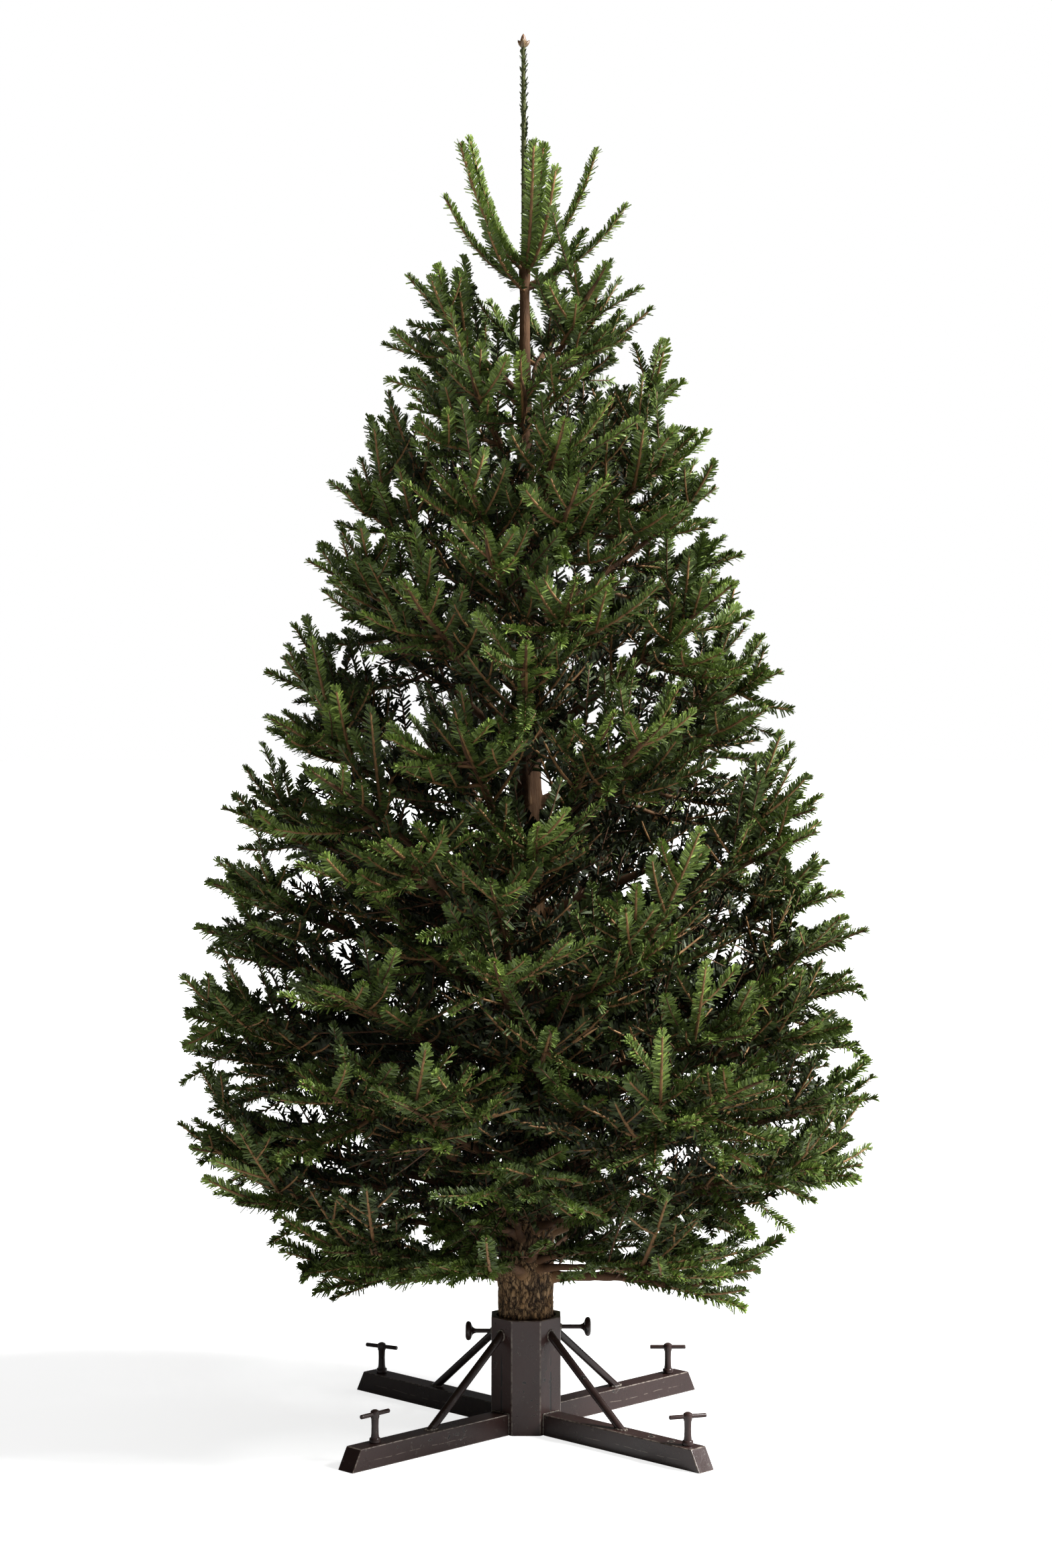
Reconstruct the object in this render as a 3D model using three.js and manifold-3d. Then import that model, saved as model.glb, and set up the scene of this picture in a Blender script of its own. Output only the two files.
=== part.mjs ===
// A cut fir, 2.6 m tall, standing in a four-legged steel tree stand.
// Millimetres, +Z up. The origin is the middle of the stand's flat underside, the front faces -Y.
// The trunk runs whole from the stand to its tip. Limbs leave it in tiers, and each limb's foliage
// is one solid that keeps to its own sector of a conical layer around the trunk.

import * as THREE from "three";
import { mergeVertices } from "three/addons/utils/BufferGeometryUtils.js";
import Module from "manifold-3d";

const wasm = await Module();
wasm.setup();

// Clearance between neighbouring solids
const GAP = 0.3;

// Stand: collar
const COLLAR_ACROSS_FLATS = 130;
const COLLAR_HEIGHT = 216;
const COLLAR_BORE_RADIUS = 55.5;
const BASE_PLATE = 6;

// Stand: legs and braces
const LEG_WIDTH = 40;
const LEG_HEIGHT = 40;
const LEG_REACH = 455;
const LEG_END_SLANT = 21;
const BRACE_RADIUS = 7.5;
const BRACE_TOP = 185;
const BRACE_FOOT_REACH = 245;

// Stand: levelling screws, one through each leg, their cross bars turned as they were left
const BOLT_RADIUS = 7;
const BOLT_HOLE_RADIUS = 7.7;
const BOLT_FOOT = 2;
const BOLT_TOP = 100;
const NUT_RADIUS = 10;
const NUT_HEIGHT = 9;
const CROSS_BAR_RADIUS = 4;
const CROSS_BAR_LENGTH = 70;
const CROSS_BAR_HEIGHT = 92;

// Stand: clamp screws through the collar's left and right faces
const CLAMP_SHAFT_RADIUS = 4;
const CLAMP_HOLE_RADIUS = 4.4;
const KNOB_RADIUS = 18;
const KNOB_THICKNESS = 7;
const KNOB_NECK = 8;

// The four corners of the stand: azimuth of the leg, reach of its screw and turn of the cross bar
const CORNERS = [
  { name: "front_right", azimuth: 315, screwReach: 409, barTurn: 17 },
  { name: "back_right", azimuth: 45, screwReach: 395, barTurn: 0 },
  { name: "back_left", azimuth: 135, screwReach: 402, barTurn: -28 },
  { name: "front_left", azimuth: 225, screwReach: 383, barTurn: 47 },
];
const CLAMPS = [
  { name: "right", azimuth: 0, height: 192, knobReach: 122 },
  { name: "left", azimuth: 180, height: 184, knobReach: 114 },
];

// Trunk: height and radius, from the flat cut to the tip of the leader
const TRUNK_BOTTOM = BASE_PLATE + GAP;
const TRUNK_RADII = [
  [TRUNK_BOTTOM, 52], [216, 51.5], [347, 49.5], [426, 50], [520, 45.5], [814, 39], [1280, 28],
  [1710, 18], [2025, 10], [2120, 8.8], [2165, 11.5], [2200, 5.6], [2400, 4.4], [2575, 3.6],
];
const TRUNK_SIDES = 12;
const TREE_HEIGHT = 2600;
const TIP_LEAN = -5;
const BUD_RADIUS = 6;
const BUD_LENGTH = 26;

// The crown's outline: height and the radius that the limbs' tips reach there
const CROWN_OUTLINE = [
  [255, 410], [330, 470], [440, 570], [520, 655], [690, 677], [860, 655], [1040, 605], [1240, 555],
  [1365, 502], [1540, 440], [1640, 420], [1715, 383], [1890, 345], [2040, 268], [2130, 235],
  [2220, 185], [2400, 115],
];

// The tiers of limbs from the bottom up. A limb leaves the trunk at height, climbs by rise for
// each millimetre of reach, and bends by curve towards its tip. turn is the azimuth of the first.
const TIERS = [
  { height: 283, limbs: 4, turn: 350, rise: 0.14, curve: -0.24, stem: 8 },
  { height: 426, limbs: 5, turn: 235, rise: 0.52, curve: -0.07, stem: 11, bough: 0.3 },
  { height: 660, limbs: 4, turn: 265, rise: 0.5, curve: -0.05, stem: 10 },
  { height: 850, limbs: 4, turn: 245, rise: 0.54, curve: -0.04, stem: 10 },
  { height: 1050, limbs: 4, turn: 208, rise: 0.6, curve: -0.04, stem: 9 },
  { height: 1270, limbs: 4, turn: 240, rise: 0.72, curve: 0, stem: 8 },
  { height: 1490, limbs: 4, turn: 195, rise: 0.75, curve: 0, stem: 7 },
  { height: 1710, limbs: 3, turn: 250, rise: 0.8, curve: 0.05, stem: 6 },
  { height: 1928, limbs: 3, turn: 190, rise: 0.85, curve: 0.15, stem: 5 },
  { height: 2165, limbs: 4, turn: 185, rise: 1.2, curve: 0.9, stem: 4, shoots: true },
];

// A limb's radius is stem where its foliage starts. A bough is thicker than that at its root.
const BOUGH_ROOT = 1.25;
const BOUGH_TIP = 0.8;
const LIMB_SHORTFALL = 0.03;

// Foliage: each branch of a limb ends in a spray whose tip lies on the crown's outline, the tips
// evenly spread over the limb's part of it
const TIP_SPACING = 140;
const TIP_DEPTH = 0.08;
const LOW_TIP = 0.24;
const HIGH_TIP = 0.78;
const BRANCH_SWING = 40;
const BRANCH_START = 0.08;
const BRANCH_END = 0.9;

// Side sprays of branches longer than this, inner sprays round a limb and the upright shoots at
// the top. Places are shares of the carrier's length, spreads are lengths for each millimetre of
// it. A roll of 0 is the carrier's right side, 90 its underside.
const LONG_BRANCH = 250;
const SIDE_SPRAYS = [
  { at: 0.22, roll: 15, swing: 48, spread: 0.5 },
  { at: 0.34, roll: 165, swing: 46, spread: 0.46 },
];
const INNER_SPRAYS = [
  { at: 0.1, roll: -100, swing: 52, spread: 0.36 },
  { at: 0.16, roll: 50, swing: 55, spread: 0.34 },
  { at: 0.24, roll: 175, swing: 50, spread: 0.34 },
  { at: 0.34, roll: -60, swing: 46, spread: 0.32 },
];
const TOP_SHOOTS = [
  { at: 0.1, roll: 70, swing: 30, spread: 0.72 },
  { at: 0.14, roll: -160, swing: 20, spread: 0.85 },
];

// A limb's stem and the spray at its end
const END_SPRAY_START = 0.62;
const SHOOT_START = 0.2;
const STEM_OVERLAP = 0.06;
const STEM_TIP_RADIUS = 4.2;

// One spray: half its width for each millimetre of length, the least added to that, and its ridge
const TWIG_RADIUS = 3.2;
const TWIG_SAG = 0.06;
const SPRAY_WIDTH = 0.11;
const SPRAY_LEAST = 16;
const SHOOT_WIDTH = 22;
const ROOT_CORNERS = 2;
const RIDGE_PLACE = 0.3;
const RIDGE_HEIGHT = 0.4;

// How sprays are kept apart and how a spray that doesn't fit is changed
const LAYER_FLOOR = 42;
const SPACE_MARGIN = 5;
const CROWDING = 0.48;
const CORE_START = 0.35;
const CORE_END = 0.95;
const TRIES = 6;
const SHRINK = 0.93;
const NARROWING = 0.9;
const SWAY = 8;
const SPRAY_TURN = 60;
const SEED = 2600;

// Colours
const STEEL = { color: 0x2b2422, roughness: 0.45, metalness: 0.6 };
const SCREW_STEEL = { color: 0x241e1d, roughness: 0.4, metalness: 0.7 };
const BARK = { color: 0x5a4331, roughness: 0.9, metalness: 0 };
const NEEDLES = { color: 0x35502c, roughness: 0.7, metalness: 0 };

const UP = new THREE.Vector3(0, 0, 1);
const radians = THREE.MathUtils.degToRad;
const tree = new THREE.Group();

// A repeatable random number from 0 to 1, from a whole-number state
function seeded(seed) {
  let state = seed >>> 0;
  return () => {
    state = (Math.imul(state, 1664525) + 1013904223) >>> 0;
    return state / 2 ** 32;
  };
}

// Value of a table of [place, value] rows at a place, straight between the rows
function interpolate(rows, place) {
  if (place <= rows[0][0]) return rows[0][1];
  for (let i = 1; i < rows.length; i += 1) {
    const [x0, y0] = rows[i - 1];
    const [x1, y1] = rows[i];
    if (place <= x1) return y0 + ((y1 - y0) * (place - x0)) / (x1 - x0);
  }
  return rows[rows.length - 1][1];
}

function toSolid(geometry) {
  const bare = geometry.clone();
  bare.deleteAttribute("normal");
  bare.deleteAttribute("uv");
  const merged = mergeVertices(bare, 1e-4);
  return new wasm.Manifold(new wasm.Mesh({
    numProp: 3,
    vertProperties: new Float32Array(merged.attributes.position.array),
    triVerts: new Uint32Array(merged.index.array),
  }));
}

function toGeometry(solid) {
  const mesh = solid.getMesh();
  const geometry = new THREE.BufferGeometry();
  geometry.setAttribute("position", new THREE.BufferAttribute(mesh.vertProperties, 3));
  geometry.setIndex(new THREE.BufferAttribute(mesh.triVerts, 1));
  geometry.computeVertexNormals();
  return geometry;
}

function addNode(name, geometry, finish, azimuth = 0) {
  const mesh = new THREE.Mesh(geometry, new THREE.MeshStandardMaterial(finish));
  mesh.name = name;
  mesh.rotation.z = radians(azimuth);
  tree.add(mesh);
}

function joined(solids) {
  return solids.reduce((whole, solid) => whole.add(solid));
}

// The largest of the bodies in a solid, without loose scraps
function mainBody(solid) {
  return solid.decompose().reduce((best, body) => (body.volume() > best.volume() ? body : best));
}

function point(azimuth, radius, height) {
  const turn = radians(azimuth);
  return new THREE.Vector3(radius * Math.cos(turn), radius * Math.sin(turn), height);
}

// Lays a piece that stands along Y from -0.5 to 0.5 onto a curve, from one place on it to another
function alongCurve(geometry, curve, from, to, roll = 0) {
  const places = geometry.attributes.position;
  for (let i = 0; i < places.count; i += 1) {
    const at = from + (places.getY(i) + 0.5) * (to - from);
    const along = curve.getTangent(at);
    const side = new THREE.Vector3().crossVectors(along, UP).normalize();
    const top = new THREE.Vector3().crossVectors(side, along);
    side.applyAxisAngle(along, roll);
    top.applyAxisAngle(along, roll);
    const place = curve.getPoint(at);
    place.addScaledVector(side, places.getX(i));
    place.addScaledVector(top, places.getZ(i));
    places.setXYZ(i, place.x, place.y, place.z);
  }
  return geometry;
}

// A tapering limb or twig along a curve
function taperedLimb(curve, from, to, rootRadius, tipRadius, sides, steps) {
  const straight = new THREE.CylinderGeometry(tipRadius, rootRadius, 1, sides, steps);
  return toSolid(alongCurve(straight, curve, from, to));
}

// A spray of needles as a blade with a flat underside, two teeth that point forward on each edge
// and one ridge. It stands along Y with its slim root at -0.5 and its tip at 0.5.
function sprayGeometry(halfWidth) {
  const edge = [[0, TWIG_RADIUS], [0.5, halfWidth], [0.4, halfWidth * 0.45], [0.8, halfWidth * 0.75]];
  const vertices = edge.flatMap(([y, width]) => [[-width, y - 0.5, 0], [width, y - 0.5, 0]]);
  const [ridge, tip] = [vertices.length, vertices.length + 1];
  vertices.push([0, RIDGE_PLACE - 0.5, halfWidth * RIDGE_HEIGHT], [0, 0.5, 0]);
  const top = [0, 1, 3, 5, 7, tip, 6, 4, 2];
  const underside = [0, 2, 4, 1, 5, 3, 0, 4, 1, 1, 4, 5, 4, 6, 5, 5, 6, 7, 6, tip, 7];
  const index = top.flatMap((from, i) => [ridge, from, top[(i + 1) % top.length]]);
  const geometry = new THREE.BufferGeometry();
  geometry.setAttribute("position", new THREE.Float32BufferAttribute(vertices.flat(), 3));
  geometry.setIndex([...index, ...underside]);
  return geometry;
}

// The curve of a limb in the upright plane of its azimuth
class LimbCurve extends THREE.Curve {
  constructor(tier, azimuth, reach) {
    super();
    this.tier = tier;
    this.azimuth = azimuth;
    this.reach = reach;
  }

  getPoint(t, target = new THREE.Vector3()) {
    const radius = t * this.reach;
    return target.copy(point(this.azimuth, radius, limbHeight(this.tier, radius, this.reach)));
  }
}

function limbHeight(tier, radius, reach) {
  return tier.height + tier.rise * radius + (tier.curve * radius * radius) / reach;
}

// Where a tier's limbs meet the crown's outline
function tierReach(tier) {
  let reach = 1;
  while (reach < interpolate(CROWN_OUTLINE, limbHeight(tier, reach, reach))) reach += 1;
  return reach;
}

// The height halfway between two tiers at a radius
function boundary(lower, upper, radius) {
  return (limbHeight(lower, radius, lower.reach) + limbHeight(upper, radius, upper.reach)) / 2;
}

// The heights between which a mass may be at a radius
function layerAt({ tier, below, above }, radius) {
  const floor = below ? boundary(below, tier, radius) : limbHeight(tier, radius, tier.reach) - LAYER_FLOOR;
  const ceiling = above ? boundary(tier, above, radius) : TREE_HEIGHT;
  return [floor, ceiling];
}

// Tells whether a point keeps clear of the trunk and of the neighbouring masses
function inSpace(place, space) {
  const radius = Math.hypot(place.x, place.y);
  const { tier, azimuth } = space;
  const turned = Math.atan2(place.y, place.x) - radians(azimuth);
  const offCentre = Math.abs(Math.atan2(Math.sin(turned), Math.cos(turned)));
  const halfSector = Math.PI / tier.limbs;
  const [floor, ceiling] = layerAt(space, radius);
  return offCentre < halfSector && radius * Math.sin(halfSector - offCentre) > SPACE_MARGIN
    && place.z > floor + SPACE_MARGIN && place.z < ceiling - SPACE_MARGIN
    && radius > interpolate(TRUNK_RADII, place.z) + SPACE_MARGIN;
}

// Tells whether all corners of a spray beyond its root keep to the space
function allInSpace(spray, space) {
  const places = spray.attributes.position;
  for (let i = ROOT_CORNERS; i < places.count; i += 1) {
    if (!inSpace(new THREE.Vector3().fromBufferAttribute(places, i), space)) return false;
  }
  return true;
}

// Places on the crown's outline, evenly spread in zigzag rows over the part of it that is a mass's
// own
function outlineTips(space, random) {
  const { tier, azimuth } = space;
  const heights = [];
  for (let height = tier.height; height < TREE_HEIGHT; height += 1) {
    const [floor, ceiling] = layerAt(space, interpolate(CROWN_OUTLINE, height));
    if (height > floor && height < ceiling) heights.push(height);
  }
  const [bottom, span] = [heights[0], heights.length];
  const rows = Math.max(1, Math.round(span / TIP_SPACING));
  const sector = 360 / tier.limbs;
  const tips = [];
  for (let row = 0; row < rows; row += 1) {
    const middle = interpolate(CROWN_OUTLINE, bottom + (span * (row + 0.5)) / rows);
    const columns = Math.max(2, Math.round((radians(sector) * middle) / TIP_SPACING));
    for (let column = 0; column < columns; column += 1) {
      const height = bottom + (span * (row + ((row + column) % 2 ? HIGH_TIP : LOW_TIP))) / rows;
      const turn = azimuth + sector * ((column + 0.5) / columns - 0.5);
      tips.push(point(turn, interpolate(CROWN_OUTLINE, height) * (1 - TIP_DEPTH * random()), height));
    }
  }
  return tips;
}

// The place on a limb where the branch to a tip leaves it
function branchRoot(limb, tip, start) {
  const steps = 40;
  const gaps = limb.getPoints(steps).map((place) => place.distanceTo(tip));
  const nearest = Math.min(...gaps);
  const behind = nearest / Math.tan(radians(BRANCH_SWING)) / limb.getLength();
  const at = gaps.indexOf(nearest) / steps - behind;
  return Math.min(Math.max(at, start + BRANCH_START), BRANCH_END);
}

// The tip of a twig that leaves its carrier at a place on it
function twigTip(carrier, at, swing, roll, length) {
  const along = carrier.getTangent(at);
  const out = new THREE.Vector3().crossVectors(along, UP).normalize();
  out.applyAxisAngle(along, radians(roll));
  const heading = along.multiplyScalar(Math.cos(radians(swing)));
  heading.addScaledVector(out, Math.sin(radians(swing)));
  return carrier.getPoint(at).addScaledVector(heading, length);
}

// The shortest distance between two straight stretches, each from start to end
function distanceBetween(one, other) {
  const along = one.end.clone().sub(one.start);
  const across = other.end.clone().sub(other.start);
  const apart = one.start.clone().sub(other.start);
  const [aa, bb, ab] = [along.lengthSq(), across.lengthSq(), along.dot(across)];
  const [ac, bc] = [along.dot(apart), across.dot(apart)];
  const clamp = (value) => Math.min(Math.max(value, 0), 1);
  let s = clamp((ab * bc - ac * bb) / Math.max(aa * bb - ab * ab, 1e-6));
  const t = clamp((ab * s + bc) / bb);
  s = clamp((ab * t - ac) / aa);
  return apart.addScaledVector(along, s).addScaledVector(across, -t).length();
}

// Finds a sagging twig to a tip whose spray keeps to the space and clear of the mass's other
// sprays, with each try shorter, slimmer and turned another way
function fittedTwig(carrier, at, tip, space, placed, random) {
  const root = carrier.getPoint(at);
  const reach = tip.clone().sub(root);
  let width = space.tier.shoots ? SHOOT_WIDTH : SPRAY_WIDTH * reach.length() + SPRAY_LEAST;
  for (let attempt = 0; attempt < TRIES; attempt += 1) {
    const end = root.clone().add(reach);
    const middle = root.clone().addScaledVector(reach, 0.5).addScaledVector(UP, -TWIG_SAG * reach.length());
    const twig = new THREE.QuadraticBezierCurve3(root, middle, end);
    const turn = radians(SPRAY_TURN) * (random() - 0.5);
    const spray = alongCurve(sprayGeometry(width), twig, 0, 1, turn);
    const core = { start: twig.getPoint(CORE_START), end: twig.getPoint(CORE_END), width };
    const free = placed.every((other) => distanceBetween(core, other) > CROWDING * (width + other.width));
    if (free && allInSpace(spray, space)) {
      placed.push(core);
      return { twig, spray };
    }
    reach.multiplyScalar(SHRINK).applyAxisAngle(UP, radians(SWAY) * (random() - 0.5));
    width *= NARROWING;
  }
  return null;
}

// One mass of foliage: a stem with a spray at its end, branches out to the crown's outline, side
// sprays on the long ones, and inner sprays around the stem
function growMass(limb, space, start, random) {
  const { tier } = space;
  const length = limb.getLength();
  const endStart = tier.shoots ? SHOOT_START : END_SPRAY_START;
  const endWidth = tier.shoots ? SHOOT_WIDTH : (1 - endStart) * length * SPRAY_WIDTH + SPRAY_LEAST;
  const endSpray = alongCurve(sprayGeometry(endWidth), limb, endStart, 1);
  const parts = [
    taperedLimb(limb, start, endStart + STEM_OVERLAP, tier.stem, STEM_TIP_RADIUS, 3, 3),
    toSolid(endSpray),
  ];
  const [coreStart, coreEnd] = [limb.getPoint(endStart + STEM_OVERLAP), limb.getPoint(CORE_END)];
  const placed = [{ start: coreStart, end: coreEnd, width: endWidth }];
  const grow = (carrier, at, tip) => {
    const grown = fittedTwig(carrier, at, tip, space, placed, random);
    if (grown) parts.push(toSolid(grown.spray));
    return grown;
  };
  const growSprays = (carrier, size, from, sprays) => sprays.forEach(({ at, swing, roll, spread }) => {
    const place = from + (1 - from) * at;
    grow(carrier, place, twigTip(carrier, place, swing, roll, spread * size));
  });
  if (tier.shoots) {
    growSprays(limb, length, start, TOP_SHOOTS);
    return joined(parts);
  }
  const branches = outlineTips(space, random).map((tip) => grow(limb, branchRoot(limb, tip, start), tip));
  growSprays(limb, length, start, INNER_SPRAYS);
  branches.filter(Boolean).forEach(({ twig }) => {
    const size = twig.getLength();
    if (size > LONG_BRANCH) growSprays(twig, size, 0, SIDE_SPRAYS);
  });
  return joined(parts);
}

// Stand

function octagon(acrossFlats) {
  const corner = acrossFlats / 2 / Math.cos(Math.PI / 8);
  const shape = new THREE.Shape();
  for (let i = 0; i < 8; i += 1) {
    const turn = Math.PI / 8 + (i * Math.PI) / 4;
    const place = [corner * Math.cos(turn), corner * Math.sin(turn)];
    if (i === 0) shape.moveTo(...place);
    else shape.lineTo(...place);
  }
  shape.closePath();
  return shape;
}

function collarGeometry() {
  const block = new THREE.ExtrudeGeometry(octagon(COLLAR_ACROSS_FLATS), {
    depth: COLLAR_HEIGHT,
    bevelEnabled: false,
  });
  const bore = new THREE.CylinderGeometry(COLLAR_BORE_RADIUS, COLLAR_BORE_RADIUS, COLLAR_HEIGHT, 24);
  bore.rotateX(Math.PI / 2).translate(0, 0, COLLAR_HEIGHT / 2 + BASE_PLATE);
  let collar = toSolid(block).subtract(toSolid(bore));
  CLAMPS.forEach((clamp) => {
    const hole = new THREE.CylinderGeometry(CLAMP_HOLE_RADIUS, CLAMP_HOLE_RADIUS, COLLAR_BORE_RADIUS, 10);
    hole.rotateZ(-Math.PI / 2).translate(COLLAR_BORE_RADIUS, 0, clamp.height);
    hole.rotateZ(radians(clamp.azimuth));
    collar = collar.subtract(toSolid(hole));
  });
  return toGeometry(collar);
}

// A box-section leg along +X with its slanted outer end and the hole for its screw
function legGeometry(screwReach) {
  const inner = COLLAR_ACROSS_FLATS / 2 + GAP;
  const profile = new THREE.Shape();
  profile.moveTo(inner, 0);
  profile.lineTo(LEG_REACH, 0);
  profile.lineTo(LEG_REACH - LEG_END_SLANT, LEG_HEIGHT);
  profile.lineTo(inner, LEG_HEIGHT);
  profile.closePath();
  const bar = new THREE.ExtrudeGeometry(profile, { depth: LEG_WIDTH, bevelEnabled: false });
  bar.translate(0, 0, -LEG_WIDTH / 2).rotateX(Math.PI / 2);
  const hole = new THREE.CylinderGeometry(BOLT_HOLE_RADIUS, BOLT_HOLE_RADIUS, 3 * LEG_HEIGHT, 10);
  hole.rotateX(Math.PI / 2).translate(screwReach, 0, 0);
  return toGeometry(toSolid(bar).subtract(toSolid(hole)));
}

// A round brace from the collar's face down to the leg's top, cut flush with both
function braceGeometry() {
  const inner = COLLAR_ACROSS_FLATS / 2 + GAP;
  const run = BRACE_FOOT_REACH - inner;
  const drop = BRACE_TOP - LEG_HEIGHT;
  const length = Math.hypot(run, drop);
  const tube = new THREE.CylinderGeometry(BRACE_RADIUS, BRACE_RADIUS, length * 1.4, 10);
  tube.rotateX(Math.PI / 2).rotateY(Math.PI + Math.atan2(-run, drop));
  tube.translate(inner + run / 2, 0, LEG_HEIGHT + drop / 2);
  const room = new THREE.BoxGeometry(2 * run, 4 * BRACE_RADIUS, 2 * drop);
  room.translate(inner + run, 0, LEG_HEIGHT + GAP + drop);
  return toGeometry(toSolid(tube).intersect(toSolid(room)));
}

// A levelling screw: bolt, nut on the leg's top, head, and the bar across it
function levellingScrewGeometry() {
  const nutBottom = LEG_HEIGHT + GAP;
  const profile = [
    [0, BOLT_FOOT], [BOLT_RADIUS, BOLT_FOOT], [BOLT_RADIUS, nutBottom], [NUT_RADIUS, nutBottom],
    [NUT_RADIUS, nutBottom + NUT_HEIGHT], [BOLT_RADIUS, nutBottom + NUT_HEIGHT + 2],
    [BOLT_RADIUS, BOLT_TOP - 2], [BOLT_RADIUS - 2, BOLT_TOP], [0, BOLT_TOP],
  ];
  const bolt = new THREE.LatheGeometry(profile.map(([x, y]) => new THREE.Vector2(x, y)), 8);
  bolt.rotateX(Math.PI / 2);
  const bar = new THREE.CylinderGeometry(CROSS_BAR_RADIUS, CROSS_BAR_RADIUS, CROSS_BAR_LENGTH, 6);
  bar.rotateZ(Math.PI / 2).translate(0, 0, CROSS_BAR_HEIGHT);
  return toGeometry(toSolid(bolt).add(toSolid(bar)));
}

// A clamp screw along +X: shaft to the trunk, conical neck and mushroom knob
function clampScrewGeometry(knobReach, trunkRadius) {
  const knobBack = knobReach - KNOB_THICKNESS;
  const profile = [
    [0, trunkRadius + GAP], [CLAMP_SHAFT_RADIUS, trunkRadius + GAP],
    [CLAMP_SHAFT_RADIUS, knobBack - KNOB_NECK], [KNOB_RADIUS - 3, knobBack - 1],
    [KNOB_RADIUS, knobBack + 1.5], [KNOB_RADIUS - 1.5, knobReach - 1.5],
    [KNOB_RADIUS - 6, knobReach], [0, knobReach],
  ];
  const screw = new THREE.LatheGeometry(profile.map(([x, y]) => new THREE.Vector2(x, y)), 10);
  return screw.rotateZ(-Math.PI / 2);
}

function addStand() {
  addNode("stand_collar", collarGeometry(), STEEL);
  CORNERS.forEach(({ name, azimuth, screwReach, barTurn }) => {
    addNode(`stand_leg_${name}`, legGeometry(screwReach), STEEL, azimuth);
    addNode(`stand_brace_${name}`, braceGeometry(), STEEL, azimuth);
    const screw = levellingScrewGeometry();
    screw.rotateZ(radians(barTurn - azimuth)).translate(screwReach, 0, 0);
    addNode(`levelling_screw_${name}`, screw, SCREW_STEEL, azimuth);
  });
  CLAMPS.forEach(({ name, azimuth, height, knobReach }) => {
    const screw = clampScrewGeometry(knobReach, interpolate(TRUNK_RADII, height));
    screw.translate(0, 0, height);
    addNode(`clamp_screw_${name}`, screw, SCREW_STEEL, azimuth);
  });
}

// Trunk

// The trunk as a turned solid, thicker all round by extra, with its slight lean to the tip
function trunkSolid(extra) {
  const profile = TRUNK_RADII.map(([height, radius]) => new THREE.Vector2(radius + extra, height));
  profile.unshift(new THREE.Vector2(0, TRUNK_BOTTOM));
  profile.push(new THREE.Vector2(0, TREE_HEIGHT));
  const trunk = new THREE.LatheGeometry(profile, TRUNK_SIDES);
  trunk.rotateX(Math.PI / 2);
  const places = trunk.attributes.position;
  for (let i = 0; i < places.count; i += 1) {
    const share = places.getZ(i) / TREE_HEIGHT;
    places.setX(i, places.getX(i) + TIP_LEAN * share ** 3);
  }
  return toSolid(trunk);
}

function budSolid(azimuth, tilt) {
  const bud = new THREE.ConeGeometry(BUD_RADIUS, BUD_LENGTH, 5);
  bud.rotateX(Math.PI / 2).translate(0, 0, BUD_LENGTH / 2);
  bud.rotateY(tilt).rotateZ(radians(azimuth));
  bud.translate(TIP_LEAN, 0, TREE_HEIGHT - BUD_LENGTH);
  return toSolid(bud);
}

function addTrunk() {
  const buds = [budSolid(0, 0), budSolid(20, 0.75), budSolid(150, 0.7), budSolid(265, 0.7)];
  addNode("trunk", toGeometry(joined([trunkSolid(0), ...buds])), BARK);
}

// Limbs

function addLimbs() {
  const nearTrunk = trunkSolid(GAP);
  const random = seeded(SEED);
  TIERS.forEach((tier) => {
    tier.reach = tierReach(tier);
  });
  TIERS.forEach((tier, level) => {
    for (let i = 0; i < tier.limbs; i += 1) {
      const azimuth = tier.turn + (i * 360) / tier.limbs;
      const letter = "abcde"[i];
      const limb = new LimbCurve(tier, azimuth, tier.reach * (1 - LIMB_SHORTFALL * random()));
      const space = { tier, azimuth, below: TIERS[level - 1], above: TIERS[level + 1] };
      let start = 0;
      if (tier.bough) {
        const halfGap = GAP / 2 / limb.getLength();
        const [rootRadius, tipRadius] = [BOUGH_ROOT * tier.stem, BOUGH_TIP * tier.stem];
        const bough = taperedLimb(limb, 0, tier.bough - halfGap, rootRadius, tipRadius, 7, 2);
        addNode(`bough_${level + 1}_${letter}`, toGeometry(mainBody(bough.subtract(nearTrunk))), BARK);
        start = tier.bough + halfGap;
      }
      const mass = growMass(limb, space, start, random);
      addNode(`mass_${level + 1}_${letter}`, toGeometry(mainBody(mass.subtract(nearTrunk))), NEEDLES);
    }
  });
}

addStand();
addTrunk();
addLimbs();

export default tree;
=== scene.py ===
"""A cut fir in a four-legged steel tree stand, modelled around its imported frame."""

import math
from collections import namedtuple

import bmesh
import bpy
import numpy as np
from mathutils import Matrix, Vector, noise


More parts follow.
